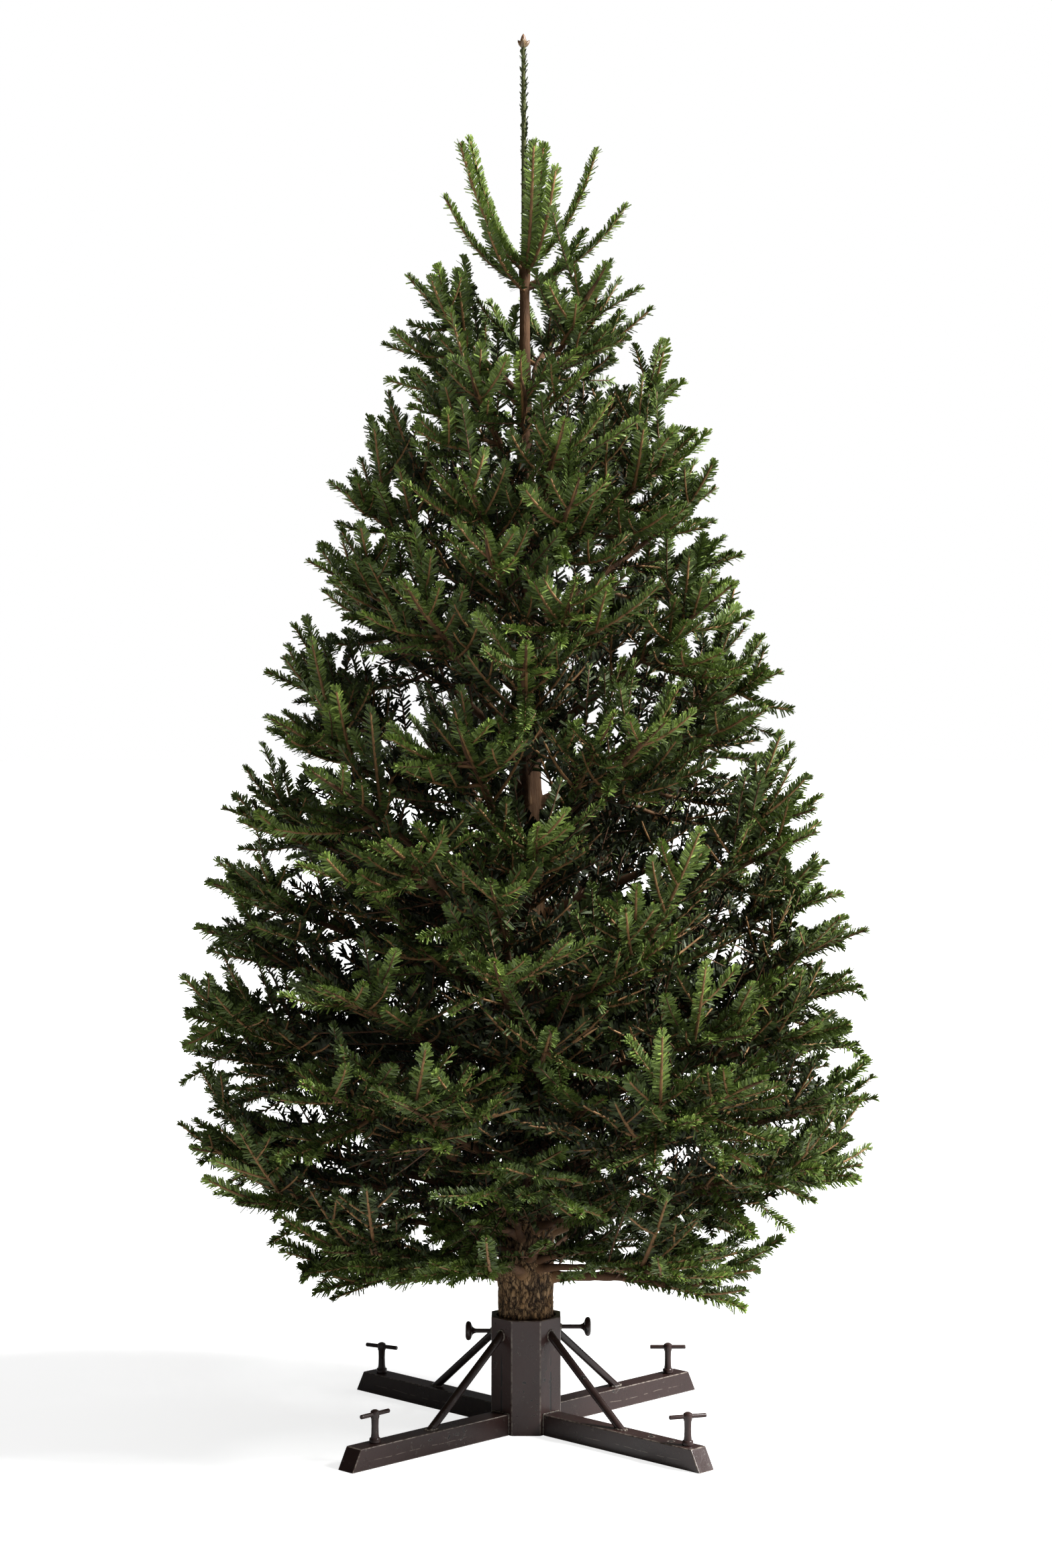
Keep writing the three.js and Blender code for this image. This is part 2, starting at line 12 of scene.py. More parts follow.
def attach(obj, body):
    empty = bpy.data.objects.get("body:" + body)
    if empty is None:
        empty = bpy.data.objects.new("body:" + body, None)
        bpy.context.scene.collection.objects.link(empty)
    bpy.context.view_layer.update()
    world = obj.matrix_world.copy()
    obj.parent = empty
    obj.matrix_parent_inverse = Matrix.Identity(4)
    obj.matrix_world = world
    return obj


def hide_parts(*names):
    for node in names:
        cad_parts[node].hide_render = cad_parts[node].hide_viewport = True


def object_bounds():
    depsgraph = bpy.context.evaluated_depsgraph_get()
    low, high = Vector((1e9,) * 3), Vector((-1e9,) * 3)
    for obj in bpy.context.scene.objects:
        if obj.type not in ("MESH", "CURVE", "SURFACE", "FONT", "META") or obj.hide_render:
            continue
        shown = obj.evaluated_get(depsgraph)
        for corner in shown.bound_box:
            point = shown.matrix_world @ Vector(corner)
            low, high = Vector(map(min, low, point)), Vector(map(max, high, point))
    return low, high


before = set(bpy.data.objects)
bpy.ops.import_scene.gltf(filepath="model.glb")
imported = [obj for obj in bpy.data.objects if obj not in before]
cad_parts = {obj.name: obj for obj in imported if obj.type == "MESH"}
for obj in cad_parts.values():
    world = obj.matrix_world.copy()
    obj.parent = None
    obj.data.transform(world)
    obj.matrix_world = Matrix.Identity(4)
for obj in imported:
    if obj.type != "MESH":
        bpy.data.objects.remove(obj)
CAD_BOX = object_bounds()

bl_info = {
    "name": "Cut fir in a steel stand",
    "version": (1, 0, 0),
    "blender": (4, 5, 0),
    "location": "3D View > Sidebar > Fir",
    "description": "Grows a cut fir and builds its steel stand around the packed frame",
    "category": "Object",
}

BODY = "root"
UP = np.array([0.0, 0.0, 1.0])
SAME_PLACE = 0.00001
SMOOTH_ANGLE = math.radians(40)
EDGE_ANGLE = math.radians(35)

# Trunk: height and radius from the cut to the tip of the leader, as in the part's source
TRUNK_RADII = [
    (0.0063, 0.052), (0.216, 0.0515), (0.347, 0.0495), (0.426, 0.05), (0.52, 0.0455),
    (0.814, 0.039), (1.28, 0.028), (1.71, 0.018), (2.025, 0.01), (2.12, 0.0088),
    (2.165, 0.0115), (2.2, 0.0056), (2.4, 0.0044), (2.575, 0.0036),
]
TREE_HEIGHT = 2.6
CAMERA_PLACE = (0, -5.8305, 1.4387)
TIP_LEAN = -0.005

# Stand: sizes in metres and azimuths in degrees
COLLAR_APOTHEM = 0.065
BORE_RADIUS = 0.0555
BASE_PLATE = 0.006
LEG_START = 0.0652
LEG_REACH = 0.455
LEG_SLANT = 0.021
BRACE_RADIUS = 0.0075
BRACE_HEAD = (0.0652, 0.185)
BRACE_FOOT = (0.245, 0.04)
# Corners: azimuth of the leg, how far out its levelling screw stands, turn of the screw's bar
CORNERS = {
    "front_right": (315, 0.409, 17), "back_right": (45, 0.395, 0),
    "back_left": (135, 0.402, -28), "front_left": (225, 0.383, 47),
}
# Clamp screws: azimuth, height, how far out the knob ends
CLAMPS = {"right": (0, 0.192, 0.122), "left": (180, 0.184, 0.114)}
# Levelling screw from its foot up, and clamp screw from the trunk out: place and radius
LEVELLING_STEPS = [
    (0.002, 0.0052), (0.0035, 0.0068), (0.0402, 0.007), (0.0403, 0.0092), (0.0412, 0.0102),
    (0.0474, 0.0102), (0.0488, 0.0093), (0.0493, 0.0076), (0.056, 0.0067), (0.07, 0.0063),
    (0.083, 0.0067), (0.0855, 0.0077), (0.0868, 0.008), (0.0965, 0.008), (0.0978, 0.0074),
    (0.0986, 0.0056), (0.0997, 0.004), (0.1, 0.0018),
]
BAR_STEPS = [
    (-0.035, 0.0031), (-0.0344, 0.0038), (-0.0332, 0.004), (0.0332, 0.004), (0.0344, 0.0038),
    (0.035, 0.0031),
]
BAR_HEIGHT = 0.092
# Places on a clamp screw count back from the knob's outer end
CLAMP_STEPS = [
    (-0.0205, 0.0042), (-0.0165, 0.0054), (-0.0135, 0.0082), (-0.0118, 0.0128), (-0.0102, 0.0162),
    (-0.0078, 0.0178), (-0.0048, 0.018), (-0.0024, 0.0168), (-0.0009, 0.014), (0.0, 0.0095),
    (-0.0001, 0.003),
]
# Chips in the paint on top of the front right leg
CHIPS = ((0.227, -0.227, 0.04), (0.2607, -0.2607, 0.04))

# The crown's outline: height and the radius that the limbs' tips reach there
CROWN_OUTLINE = [
    (0.255, 0.41), (0.33, 0.47), (0.44, 0.57), (0.52, 0.655), (0.69, 0.677), (0.86, 0.655),
    (1.04, 0.605), (1.24, 0.555), (1.365, 0.502), (1.54, 0.44), (1.64, 0.42), (1.715, 0.383),
    (1.89, 0.345), (2.04, 0.268), (2.13, 0.235), (2.22, 0.185), (2.4, 0.115),
]

# Tiers of limbs from the bottom up: height, number of limbs, azimuth of the first, rise and curve
# for each metre of reach, and the radius of a limb where its foliage starts
Tier = namedtuple("Tier", "height count turn rise curve stem")
TIERS = [
    Tier(0.283, 4, 350, 0.14, -0.24, 0.0085),
    Tier(0.426, 5, 235, 0.52, -0.07, 0.011),
    Tier(0.66, 4, 265, 0.5, -0.05, 0.01),
    Tier(0.85, 4, 245, 0.54, -0.04, 0.01),
    Tier(1.05, 4, 208, 0.6, -0.04, 0.009),
    Tier(1.27, 4, 240, 0.72, 0.0, 0.008),
    Tier(1.49, 4, 195, 0.75, 0.0, 0.007),
    Tier(1.71, 3, 250, 0.8, 0.05, 0.006),
    Tier(1.928, 3, 190, 0.85, 0.15, 0.005),
]
TIER_NODES = "abcde"

# Slimmer limbs between the tiers, in front and at the sides: height, azimuth, reach and height
# of the tip
FRONT_LIMBS = [
    (1.277, 282, 0.419, 1.582), (0.977, 256, 0.494, 1.335), (0.985, 288, 0.488, 1.349),
    (0.92, 227, 0.546, 1.249), (0.76, 264, 0.573, 1.068), (0.61, 237, 0.635, 0.884),
    (0.45, 250, 0.655, 0.706), (0.45, 296, 0.655, 0.668), (0.62, 306, 0.65, 0.805),
    (0.3, 302, 0.5, 0.37), (0.29, 225, 0.5, 0.4), (0.31, 279, 0.23, 0.39),
    (0.37, 187, 0.62, 0.54), (0.35, 206, 0.57, 0.47), (0.36, 352, 0.62, 0.51),
    (0.37, 330, 0.6, 0.54), (0.57, 198, 0.64, 0.8), (0.57, 336, 0.63, 0.79),
    (0.93, 190, 0.56, 1.17), (0.95, 345, 0.54, 1.17), (1.16, 180, 0.48, 1.42),
    (1.16, 352, 0.47, 1.42), (1.38, 205, 0.43, 1.62), (0.78, 197, 0.6, 1.04),
    (0.45, 343, 0.66, 0.65), (0.55, 274, 0.63, 0.83), (0.86, 272, 0.55, 1.16),
    (1.38, 260, 0.42, 1.67), (1.6, 281, 0.35, 1.86), (1.52, 252, 0.38, 1.77),
    (1.75, 268, 0.29, 1.98), (1.16, 270, 0.46, 1.47), (0.36, 253, 0.34, 0.44),
    (0.37, 291, 0.35, 0.46), (0.43, 271, 0.42, 0.57), (0.5, 287, 0.45, 0.68),
    (0.53, 252, 0.45, 0.7), (0.68, 279, 0.43, 0.86), (0.72, 247, 0.46, 0.94),
    (0.72, 297, 0.46, 0.93), (0.95, 272, 0.38, 1.12),
    (0.32, 243, 0.27, 0.4), (0.31, 299, 0.28, 0.38), (0.34, 260, 0.3, 0.49),
    (0.78, 8, 0.6, 1.0), (0.42, 178, 0.62, 0.55), (0.37, 6, 0.63, 0.46),
    (0.66, 353, 0.62, 0.84), (0.6, 182, 0.63, 0.79),
]

# Openings in the crown, as places in the trunk's plane seen from in front: from x to x, from z
# to z, and whether only what stands in front of the trunk leaves them open
OPENINGS = [
    # under the crown, so that the stand and the trunk's foot stay in view
    (-0.7, 0.7, 0.0, 0.232, True), (-0.24, 0.24, 0.0, 0.275, True),
    (-0.068, 0.068, 0.0, 0.415, True),
    # up the trunk
    (0.004, 0.05, 0.72, 0.83, True), (0.006, 0.045, 1.0, 1.06, True),
    (0.0, 0.036, 1.14, 1.24, True), (-0.02, 0.025, 1.96, 2.15, True),
    # right through the crown
    (-0.243, -0.18, 1.29, 1.36, False), (0.145, 0.208, 1.25, 1.3, False),
    (-0.225, -0.185, 0.345, 0.4, False), (0.12, 0.18, 0.35, 0.385, False),
]

# Upright shoots round the leader: azimuth, radius and height of the tip, height of the root
TOP_SHOOTS = [
    (150, 0.122, 2.416, 2.168), (215, 0.146, 2.382, 2.162), (75, 0.128, 2.415, 2.175),
    (277, 0.115, 2.379, 2.165), (300, 0.108, 2.336, 2.158), (15, 0.136, 2.391, 2.172),
    (190, 0.151, 2.295, 2.138), (350, 0.186, 2.277, 2.138), (240, 0.14, 2.226, 2.125),
    (40, 0.142, 2.248, 2.13),
]

# How much a shoot turns upwards along its length, for heights
UPTURN = [(0.25, -0.2), (0.45, 0.15), (0.8, 0.45), (1.3, 0.8), (1.8, 1.2), (2.2, 1.6)]

# Tips on the outline: their spacing, the share of the radius that some stand back, and where the
# low and high ones of a zigzag row stand in it
TIP_SPACING = 0.112
TIP_DEPTH = 0.19
LOW_TIP = 0.24
HIGH_TIP = 0.78
# A tip nearer than this to a limb's end is left to the limb
END_ROOM = 0.05
# The angle between a limb and its branches that looks most natural, in degrees
BRANCH_SWING = 42
# Thin shoots inside the crown, for each metre of limb
INNER_SHOOTS = 28
# Orders of shoots: 1 to 3 are branches and side shoots, each on the order before it
LIMB_END, INNER, UPRIGHT, LEADER = 0, 4, 5, 6
SEED = 2600


def length_setting(name, description, default):
    return bpy.props.FloatProperty(
        name=name, description=description, default=default, unit="LENGTH"
    )


def number_setting(name, description, default):
    return bpy.props.FloatProperty(name=name, description=description, default=default)


def colour_setting(name, description, default):
    return bpy.props.FloatVectorProperty(
        name=name, description=description, default=default, size=3, subtype="COLOR"
    )


class StandSettings(bpy.types.PropertyGroup):
    """Sizes and paint of the steel stand"""

    edge: length_setting("Edge rounding", "Radius of the rounded steel edges", 0.002)
    collar_height: length_setting("Collar height", "Height of the octagonal collar", 0.216)
    leg_side: length_setting("Leg section", "Side of the legs' square section", 0.04)
    paint: colour_setting("Paint", "Colour of the stand's paint", (0.032, 0.0155, 0.0135))


class BarkSettings(bpy.types.PropertyGroup):
    """Relief and colours of the bark"""

    crack_depth: length_setting(
        "Crack depth", "Depth of the cracks between the bark's plates at the foot", 0.0042
    )
    plate: colour_setting("Plates", "Colour of the old bark's plates", (0.27, 0.15, 0.06))
    young: colour_setting("Young bark", "Colour of the smooth bark on limbs", (0.066, 0.032, 0.015))


class FoliageSettings(bpy.types.PropertyGroup):
    """Size, number and colours of the needles"""

    needle_length: length_setting("Needle length", "Length of a full-grown needle", 0.018)
    needle_width: length_setting(
        "Needle width", "Width that the root and tip of an outer needle are shares of", 0.0035
    )
    needles_per_metre: number_setting(
        "Needles for each metre", "Needles on each metre of an outer shoot", 1780.0
    )
    green: colour_setting("Green", "Colour of the full-grown needles", (0.0595, 0.0925, 0.018))


class StageSettings(bpy.types.PropertyGroup):
    """Floor, light and camera"""

    focal_length: number_setting("Focal length", "Focal length of the camera in millimetres", 71.81)
    floor: colour_setting("Floor", "Colour of the floor", (0.5, 0.5, 0.5))


# Small helpers


def deselect_all():
    if bpy.context.object and bpy.context.object.mode != "OBJECT":
        bpy.ops.object.mode_set(mode="OBJECT")
    bpy.ops.object.select_all(action="DESELECT")


def interpolate(rows, place):
    places, values = zip(*rows)
    return np.interp(place, places, values)


def unit(vectors):
    return vectors / np.maximum(np.linalg.norm(vectors, axis=-1, keepdims=True), 1e-9)


def around(azimuth, radius, height):
    turn = np.radians(azimuth)
    return np.stack(
        np.broadcast_arrays(radius * np.cos(turn), radius * np.sin(turn), height), axis=-1
    )


def smooth_step(low, high, values):
    share = np.clip((values - low) / (high - low), 0, 1)
    return share * share * (3 - 2 * share)


def mesh_object(name, places, faces, material_indices=None, smooth=False):
    """A mesh object from an array of places and an array of faces with as many corners each."""
    mesh = bpy.data.meshes.new(name)
    count, corners = faces.shape
    mesh.vertices.add(len(places))
    mesh.vertices.foreach_set("co", np.ascontiguousarray(places, np.float32).ravel())
    mesh.loops.add(count * corners)
    mesh.loops.foreach_set("vertex_index", np.ascontiguousarray(faces, np.int32).ravel())
    mesh.polygons.add(count)
    mesh.polygons.foreach_set("loop_start", np.arange(0, count * corners, corners, dtype=np.int32))
    if material_indices is not None:
        mesh.polygons.foreach_set("material_index", material_indices.astype(np.int32))
    mesh.polygons.foreach_set("use_smooth", np.full(count, smooth))
    mesh.update(calc_edges=True)
    mesh.validate()
    piece = bpy.data.objects.new(name, mesh)
    bpy.context.scene.collection.objects.link(piece)
    return piece


def add_attribute(piece, name, values):
    attribute = piece.data.attributes.new(name, "FLOAT", "POINT")
    attribute.data.foreach_set("value", np.asarray(values, np.float32))


def joined_mesh(name, parts):
    """One smooth mesh object from pairs of places and faces."""
    first = np.cumsum([0] + [len(places) for places, _ in parts[:-1]])
    return mesh_object(
        name,
        np.concatenate([places for places, _ in parts]),
        np.concatenate([faces + start for (_, faces), start in zip(parts, first)]),
        smooth=True,
    )


def close_tips(piece):
    """Merges the points of each tip that lie in one place."""
    make_active(piece)
    bpy.ops.object.mode_set(mode="EDIT")
    bpy.ops.mesh.select_all(action="SELECT")
    bpy.ops.mesh.remove_doubles(threshold=SAME_PLACE)
    leave_edit()


def settle(piece, materials, slot, *nodes):
    """Gives a finished piece its materials and lets it ride with the tree, in place of CAD nodes."""
    for material in materials:
        piece.data.materials.append(material)
    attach(piece, BODY)
    if nodes:
        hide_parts(*nodes)


# Shaping by hand: primitives, edit mode and modifiers


def make_active(piece):
    deselect_all()
    piece.select_set(True)
    bpy.context.view_layer.objects.active = piece


def select_faces(piece, chosen):
    """Enters edit mode with the faces selected that a test of centre and normal chooses."""
    make_active(piece)
    bpy.ops.object.mode_set(mode="EDIT")
    bpy.context.tool_settings.mesh_select_mode = (False, False, True)
    bpy.ops.mesh.select_all(action="DESELECT")
    shape = bmesh.from_edit_mesh(piece.data)
    for face in shape.faces:
        if chosen(face.calc_center_median(), face.normal):
            face.select_set(True)
    bmesh.update_edit_mesh(piece.data)


def leave_edit():
    bpy.ops.object.mode_set(mode="OBJECT")


def place_in_mesh(piece):
    make_active(piece)
    bpy.ops.object.transform_apply(location=True, rotation=True, scale=True)


def apply_modifier(piece, kind, **properties):
    make_active(piece)
    modifier = piece.modifiers.new(kind.title(), kind)
    for key, value in properties.items():
        setattr(modifier, key, value)
    bpy.ops.object.modifier_apply(modifier=modifier.name)


def primitive(add, name, **options):
    """What an operator adds, with its place, turn and size in its mesh."""
    deselect_all()
    add(**options)
    piece = bpy.context.object
    piece.name = name
    place_in_mesh(piece)
    return piece


def round_edges(piece, width, broad):
    """Rounds the sharp edges, and marks them where no face is as broad as given."""
    apply_modifier(
        piece, "BEVEL", width=width, segments=4, limit_method="ANGLE", angle_limit=EDGE_ANGLE
    )
    mark_edges(piece, broad)


def turned(name, sides, steps):
    """A turned piece about Z: a first short cylinder, then its top face extruded and resized."""
    (start, radius), (second, next_radius) = steps[:2]
    piece = primitive(
        bpy.ops.mesh.primitive_cylinder_add, name, vertices=sides, radius=radius,
        depth=second - start, location=(0, 0, (start + second) / 2),
    )
    select_faces(piece, lambda centre, normal: normal.z > 0.9)
    share = next_radius / radius
    bpy.ops.transform.resize(value=(share, share, 1), center_override=(0, 0, second))
    last_height, last_radius = second, next_radius
    for height, radius in steps[2:]:
        bpy.ops.mesh.extrude_region_move(
            TRANSFORM_OT_translate={"value": (0, 0, height - last_height)}
        )
        share = radius / last_radius
        bpy.ops.transform.resize(value=(share, share, 1), center_override=(0, 0, height))
        last_height, last_radius = height, radius
    leave_edit()
    bpy.ops.object.shade_smooth_by_angle(angle=SMOOTH_ANGLE)
    return piece


def joined(name, pieces):
    make_active(pieces[0])
    for piece in pieces:
        piece.select_set(True)
    bpy.ops.object.join()
    pieces[0].name = name
    return pieces[0]


def turned_copy(piece, name, azimuth):
    """A copy with its own mesh, turned about the upright axis."""
    copy = piece.copy()
    copy.data = piece.data.copy()
    copy.name = name
    bpy.context.scene.collection.objects.link(copy)
    copy.rotation_euler = (0, 0, math.radians(azimuth))
    place_in_mesh(copy)
    return copy


def discard(piece):
    bpy.data.objects.remove(piece, do_unlink=True)


def mark_edges(piece, broad):
    """Marks the points amid rounded edges, which no face of a broad area touches."""
    shape = bmesh.new()
    shape.from_mesh(piece.data)
    marks = [max(face.calc_area() for face in point.link_faces) < broad for point in shape.verts]
    shape.free()
    add_attribute(piece, "edge", marks)


# Materials


class Nodes:
    """Adds nodes to a node tree and joins them."""

    def __init__(self, tree):
        self.tree = tree

    def set_or_join(self, socket, value):
        if isinstance(value, bpy.types.NodeSocket):
            self.tree.links.new(value, socket)
        else:
            socket.default_value = value

    def node(self, kind, inputs=None, **properties):
        made = self.tree.nodes.new(kind)
        for key, value in properties.items():
            setattr(made, key, value)
        for key, value in (inputs or {}).items():
            self.set_or_join(made.inputs[key], value)
        return made

    def span(self, value, low, high, to_low=0.0, to_high=1.0):
        """A value's stretch from low to high spread over another stretch."""
        inputs = {
            "Value": value, "From Min": low, "From Max": high, "To Min": to_low, "To Max": to_high,
        }
        return self.node("ShaderNodeMapRange", inputs, clamp=True).outputs["Result"]


class Finish(Nodes):
    """A material put together node by node around its shader."""

    def __init__(self, name, colour, roughness, specular=0.5):
        self.material = bpy.data.materials.new(name)
        self.material.use_nodes = True
        super().__init__(self.material.node_tree)
        self.shader = self.tree.nodes["Principled BSDF"]
        self.shader.inputs["Base Color"].default_value = (*colour, 1)
        self.shader.inputs["Roughness"].default_value = roughness
        self.shader.inputs["Specular IOR Level"].default_value = specular

    def feed(self, socket, value):
        self.tree.links.new(value, self.shader.inputs[socket])

    def places(self, stretch=(1, 1, 1)):
        """Object coordinates, stretched along the axes."""
        source = self.node("ShaderNodeTexCoord").outputs["Object"]
        if stretch == (1, 1, 1):
            return source
        return self.node("ShaderNodeMapping", {"Vector": source, "Scale": stretch}).outputs[0]

    def attribute(self, name):
        return self.node("ShaderNodeAttribute", attribute_name=name).outputs["Fac"]

    def noise(self, vector, scale, detail=2.0):
        inputs = {"Vector": vector, "Scale": scale, "Detail": detail}
        return self.node("ShaderNodeTexNoise", inputs).outputs["Fac"]

    def cells(self, vector, scale, feature="F1"):
        inputs = {"Vector": vector, "Scale": scale}
        return self.node("ShaderNodeTexVoronoi", inputs, feature=feature).outputs["Distance"]

    def math(self, operation, one, other):
        return self.node("ShaderNodeMath", {0: one, 1: other}, operation=operation).outputs[0]

    def vector(self, operation, one, other=None):
        inputs = {0: one} if other is None else {0: one, 1: other}
        return self.node("ShaderNodeVectorMath", inputs, operation=operation).outputs

    def times(self, first, *others):
        for other in others:
            first = self.math("MULTIPLY", first, other)
        return first

    def size_of(self, value):
        return self.math("ABSOLUTE", value, 0.0)

    def blend(self, share, one, other):
        """A colour between two colours or colour sockets."""
        ends = {
            socket: value if isinstance(value, bpy.types.NodeSocket) else (*value, 1)
            for socket, value in ((6, one), (7, other))
        }
        return self.node("ShaderNodeMix", {0: share, **ends}, data_type="RGBA").outputs[2]

    def bump(self, height, strength, distance):
        inputs = {"Height": height, "Strength": strength, "Distance": distance}
        self.feed("Normal", self.node("ShaderNodeBump", inputs).outputs[0])


FIBRE_SHADE = (0.06, 0.03, 0.014)
PALE_PLATE = (0.32, 0.215, 0.12)
PALE_LIMB = (0.1, 0.053, 0.027)
LIMB_SPECK = (0.13, 0.085, 0.048)
LEADER_GREEN = (0.055, 0.066, 0.022)
# Near-black colours of the bark's fine and deep cracks: painted shade in them
FINE_CRACK_SHADE = (0.02, 0.011, 0.006)
DEEP_CRACK_SHADE = (0.009, 0.005, 0.003)
DUSTY_PAINT = (0.046, 0.03, 0.027)
PIT_RIM = (0.16, 0.135, 0.115)
PIT = (0.006, 0.005, 0.0045)
SCRATCH = (0.26, 0.215, 0.175)
CHIP_RIM = (0.2, 0.165, 0.14)
WORN_EDGE = (0.18, 0.15, 0.125)
# How dark the paint of each kind of piece is beside the collar's: painted shade, the same paint
# drawn darker on legs, braces and screws
PAINTED_SHADE_BY_KIND = {"leg": 0.6, "brace": 0.45, "screw": 0.6}


def needle_material(name, colour, roughness):
    """One green, with slight differences from needle to needle and a waxy gloss."""
    finish = Finish(name, colour, roughness, specular=0.34)
    places = finish.places()
    share = finish.span(finish.noise(places, 240.0, 1.0), 0.32, 0.68)
    dull = tuple(0.78 * value for value in colour)
    bright = (colour[0] * 1.24, colour[1] * 1.2, colour[2] * 1.15)
    finish.feed("Base Color", finish.blend(share, dull, bright))
    finish.feed("Roughness", finish.span(share, 0.0, 1.0, roughness - 0.06, roughness + 0.1))
    return finish.material


def bark_material(settings):
    """Cracked plates at the foot with painted shade in the cracks, smoother bark higher up and on
    the limbs, olive on the leader.
    """
    finish = Finish("fir_bark", settings.plate, 0.85, specular=0.2)
    places = finish.places()
    groove, age = finish.attribute("groove"), finish.attribute("age")
    green = finish.attribute("green")
    patches = finish.span(finish.noise(places, 28.0, 4.0), 0.35, 0.68)
    fibres = finish.span(finish.noise(finish.places((1, 1, 0.22)), 420.0, 4.0), 0.3, 0.7)
    specks = finish.span(finish.cells(places, 260.0), 0.1, 0.22, 1.0, 0.0)
    plate = finish.blend(patches, tuple(settings.plate), PALE_PLATE)
    plate = finish.blend(finish.math("MULTIPLY", fibres, 0.4), plate, FIBRE_SHADE)
    young = finish.blend(patches, tuple(settings.young), PALE_LIMB)
    young = finish.blend(finish.math("MULTIPLY", specks, 0.3), young, LIMB_SPECK)
    colour = finish.blend(age, young, plate)
    colour = finish.blend(green, colour, LEADER_GREEN)
    # fine cracks between the deep ones, on old bark only, darkened as painted shade
    drift = finish.node("ShaderNodeTexNoise", {"Vector": places, "Scale": 60.0, "Detail": 2.0})
    drift = finish.node(
        "ShaderNodeVectorMath", {0: drift.outputs["Color"], "Scale": 0.012}, operation="SCALE"
    )
    bent_places = finish.vector("ADD", finish.places((1, 1, 0.34)), drift.outputs[0])[0]
    edges = finish.cells(bent_places, 150.0, "DISTANCE_TO_EDGE")
    cracks = finish.times(finish.span(edges, 0.02, 0.13, 1, 0), finish.span(age, 0.6, 0.95))
    colour = finish.blend(finish.times(cracks, 0.85), colour, FINE_CRACK_SHADE)
    # painted shade in the deep grooves between the bark's plates
    colour = finish.blend(groove, colour, DEEP_CRACK_SHADE)
    finish.feed("Base Color", colour)
    finish.feed("Roughness", finish.span(patches, 0, 1, 0.72, 0.92))
    relief = finish.math("ADD", fibres, finish.math("MULTIPLY", patches, 0.8))
    relief = finish.math("SUBTRACT", relief, finish.times(cracks, 1.6))
    finish.bump(relief, 0.55, 0.0012)
    return finish.material


def twig_material():
    """Tan young stems that turn to brown bark as they grow thicker."""
    finish = Finish("twig_bark", (0.19, 0.1, 0.04), 0.68, specular=0.25)
    places = finish.places()
    share = finish.span(finish.noise(places, 90.0, 3.0), 0.35, 0.65)
    young = finish.blend(share, (0.21, 0.115, 0.045), (0.14, 0.072, 0.03))
    old = finish.blend(share, (0.115, 0.057, 0.028), (0.065, 0.033, 0.018))
    finish.feed("Base Color", finish.blend(finish.attribute("age"), young, old))
    finish.feed("Roughness", finish.span(share, 0, 1, 0.58, 0.78))
    ridges = finish.noise(places, 700.0, 2.0)
    finish.bump(ridges, 0.4, 0.0006)
    return finish.material


def paint_material(name, settings, kind):
    """Dark semi-gloss paint with pits and worn edges. The collar has seams, legs have scratches.
    Legs, braces and screws take it darker, as painted shade.
    """
    finish = Finish(name, settings.paint, 0.36, specular=0.36)
    places = finish.places()
    clouds = finish.span(finish.noise(places, 16.0, 4.0), 0.3, 0.7)
    grain = finish.span(finish.noise(places, 210.0, 3.0), 0.3, 0.7)
    # painted shade: the collar's paint drawn darker on legs, braces and screws
    shade = PAINTED_SHADE_BY_KIND.get(kind, 1.0)
    thin = tuple(0.82 * shade * value for value in settings.paint)
    full = tuple(1.18 * shade * value for value in settings.paint)
    colour = finish.blend(clouds, thin, full)
    colour = finish.blend(finish.times(grain, 0.2 * shade), colour, DUSTY_PAINT)
    # flecks: small ragged pits with a lighter rim, here and there
    flecks = finish.noise(places, 95.0, 3.0)
    rare = finish.span(finish.noise(places, 21.0, 1.0), 0.5, 0.56)
    rim = finish.times(finish.span(flecks, 0.625, 0.635), rare, 0.4)
    colour = finish.blend(rim, colour, PIT_RIM)
    marks = finish.times(finish.span(flecks, 0.645, 0.655), rare)
    if kind == "collar":
        marks = finish.math("MAXIMUM", marks, collar_seams(finish, places))
    if kind == "leg":
        colour = finish.blend(leg_scratch(finish, places), colour, SCRATCH)
        ragged = finish.times(finish.noise(places, 180.0, 2.0), 0.006)
        for place in CHIPS:
            gap = finish.vector("DISTANCE", places, place)["Value"]
            gap = finish.math("ADD", gap, ragged)
            edge = finish.times(
                finish.span(gap, 0.0078, 0.0084), finish.span(gap, 0.0092, 0.01, 1, 0)
            )
            colour = finish.blend(finish.times(edge, 0.7), colour, CHIP_RIM)
            marks = finish.math("MAXIMUM", marks, finish.span(gap, 0.0076, 0.0082, 1, 0))
    colour = finish.blend(marks, colour, PIT)
    worn = finish.span(finish.noise(places, 120.0, 3.0), 0.38, 0.6, 0.15, 0.85)
    worn = finish.times(worn, finish.attribute("edge"))
    colour = finish.blend(worn, colour, WORN_EDGE)
    finish.feed("Base Color", colour)
    finish.feed("Roughness", finish.span(clouds, 0, 1, 0.24, 0.36))
    finish.bump(finish.math("SUBTRACT", finish.times(grain, 0.25), marks), 0.5, 0.0006)
    return finish.material


def collar_seams(finish, places):
    """A dark broken seam down the middle of each slanting face of the collar's lower part."""
    split = finish.node("ShaderNodeSeparateXYZ", {"Vector": places}).outputs
    one = finish.size_of(finish.math("ADD", split["X"], split["Y"]))
    other = finish.size_of(finish.math("SUBTRACT", split["X"], split["Y"]))
    waver = finish.times(finish.noise(finish.places((1, 1, 2.2)), 45.0, 3.0), 0.0024)
    off = finish.size_of(finish.math("SUBTRACT", finish.math("MINIMUM", one, other), waver))
    line = finish.span(off, 0.001, 0.0019, 1, 0)
    broken = finish.span(finish.noise(finish.places((0.3, 0.3, 1)), 34.0, 2.0), 0.43, 0.47)
    return finish.times(line, broken, finish.span(split["Z"], 0.13, 0.155, 1, 0))


SCRATCH_HEIGHT = 0.0085


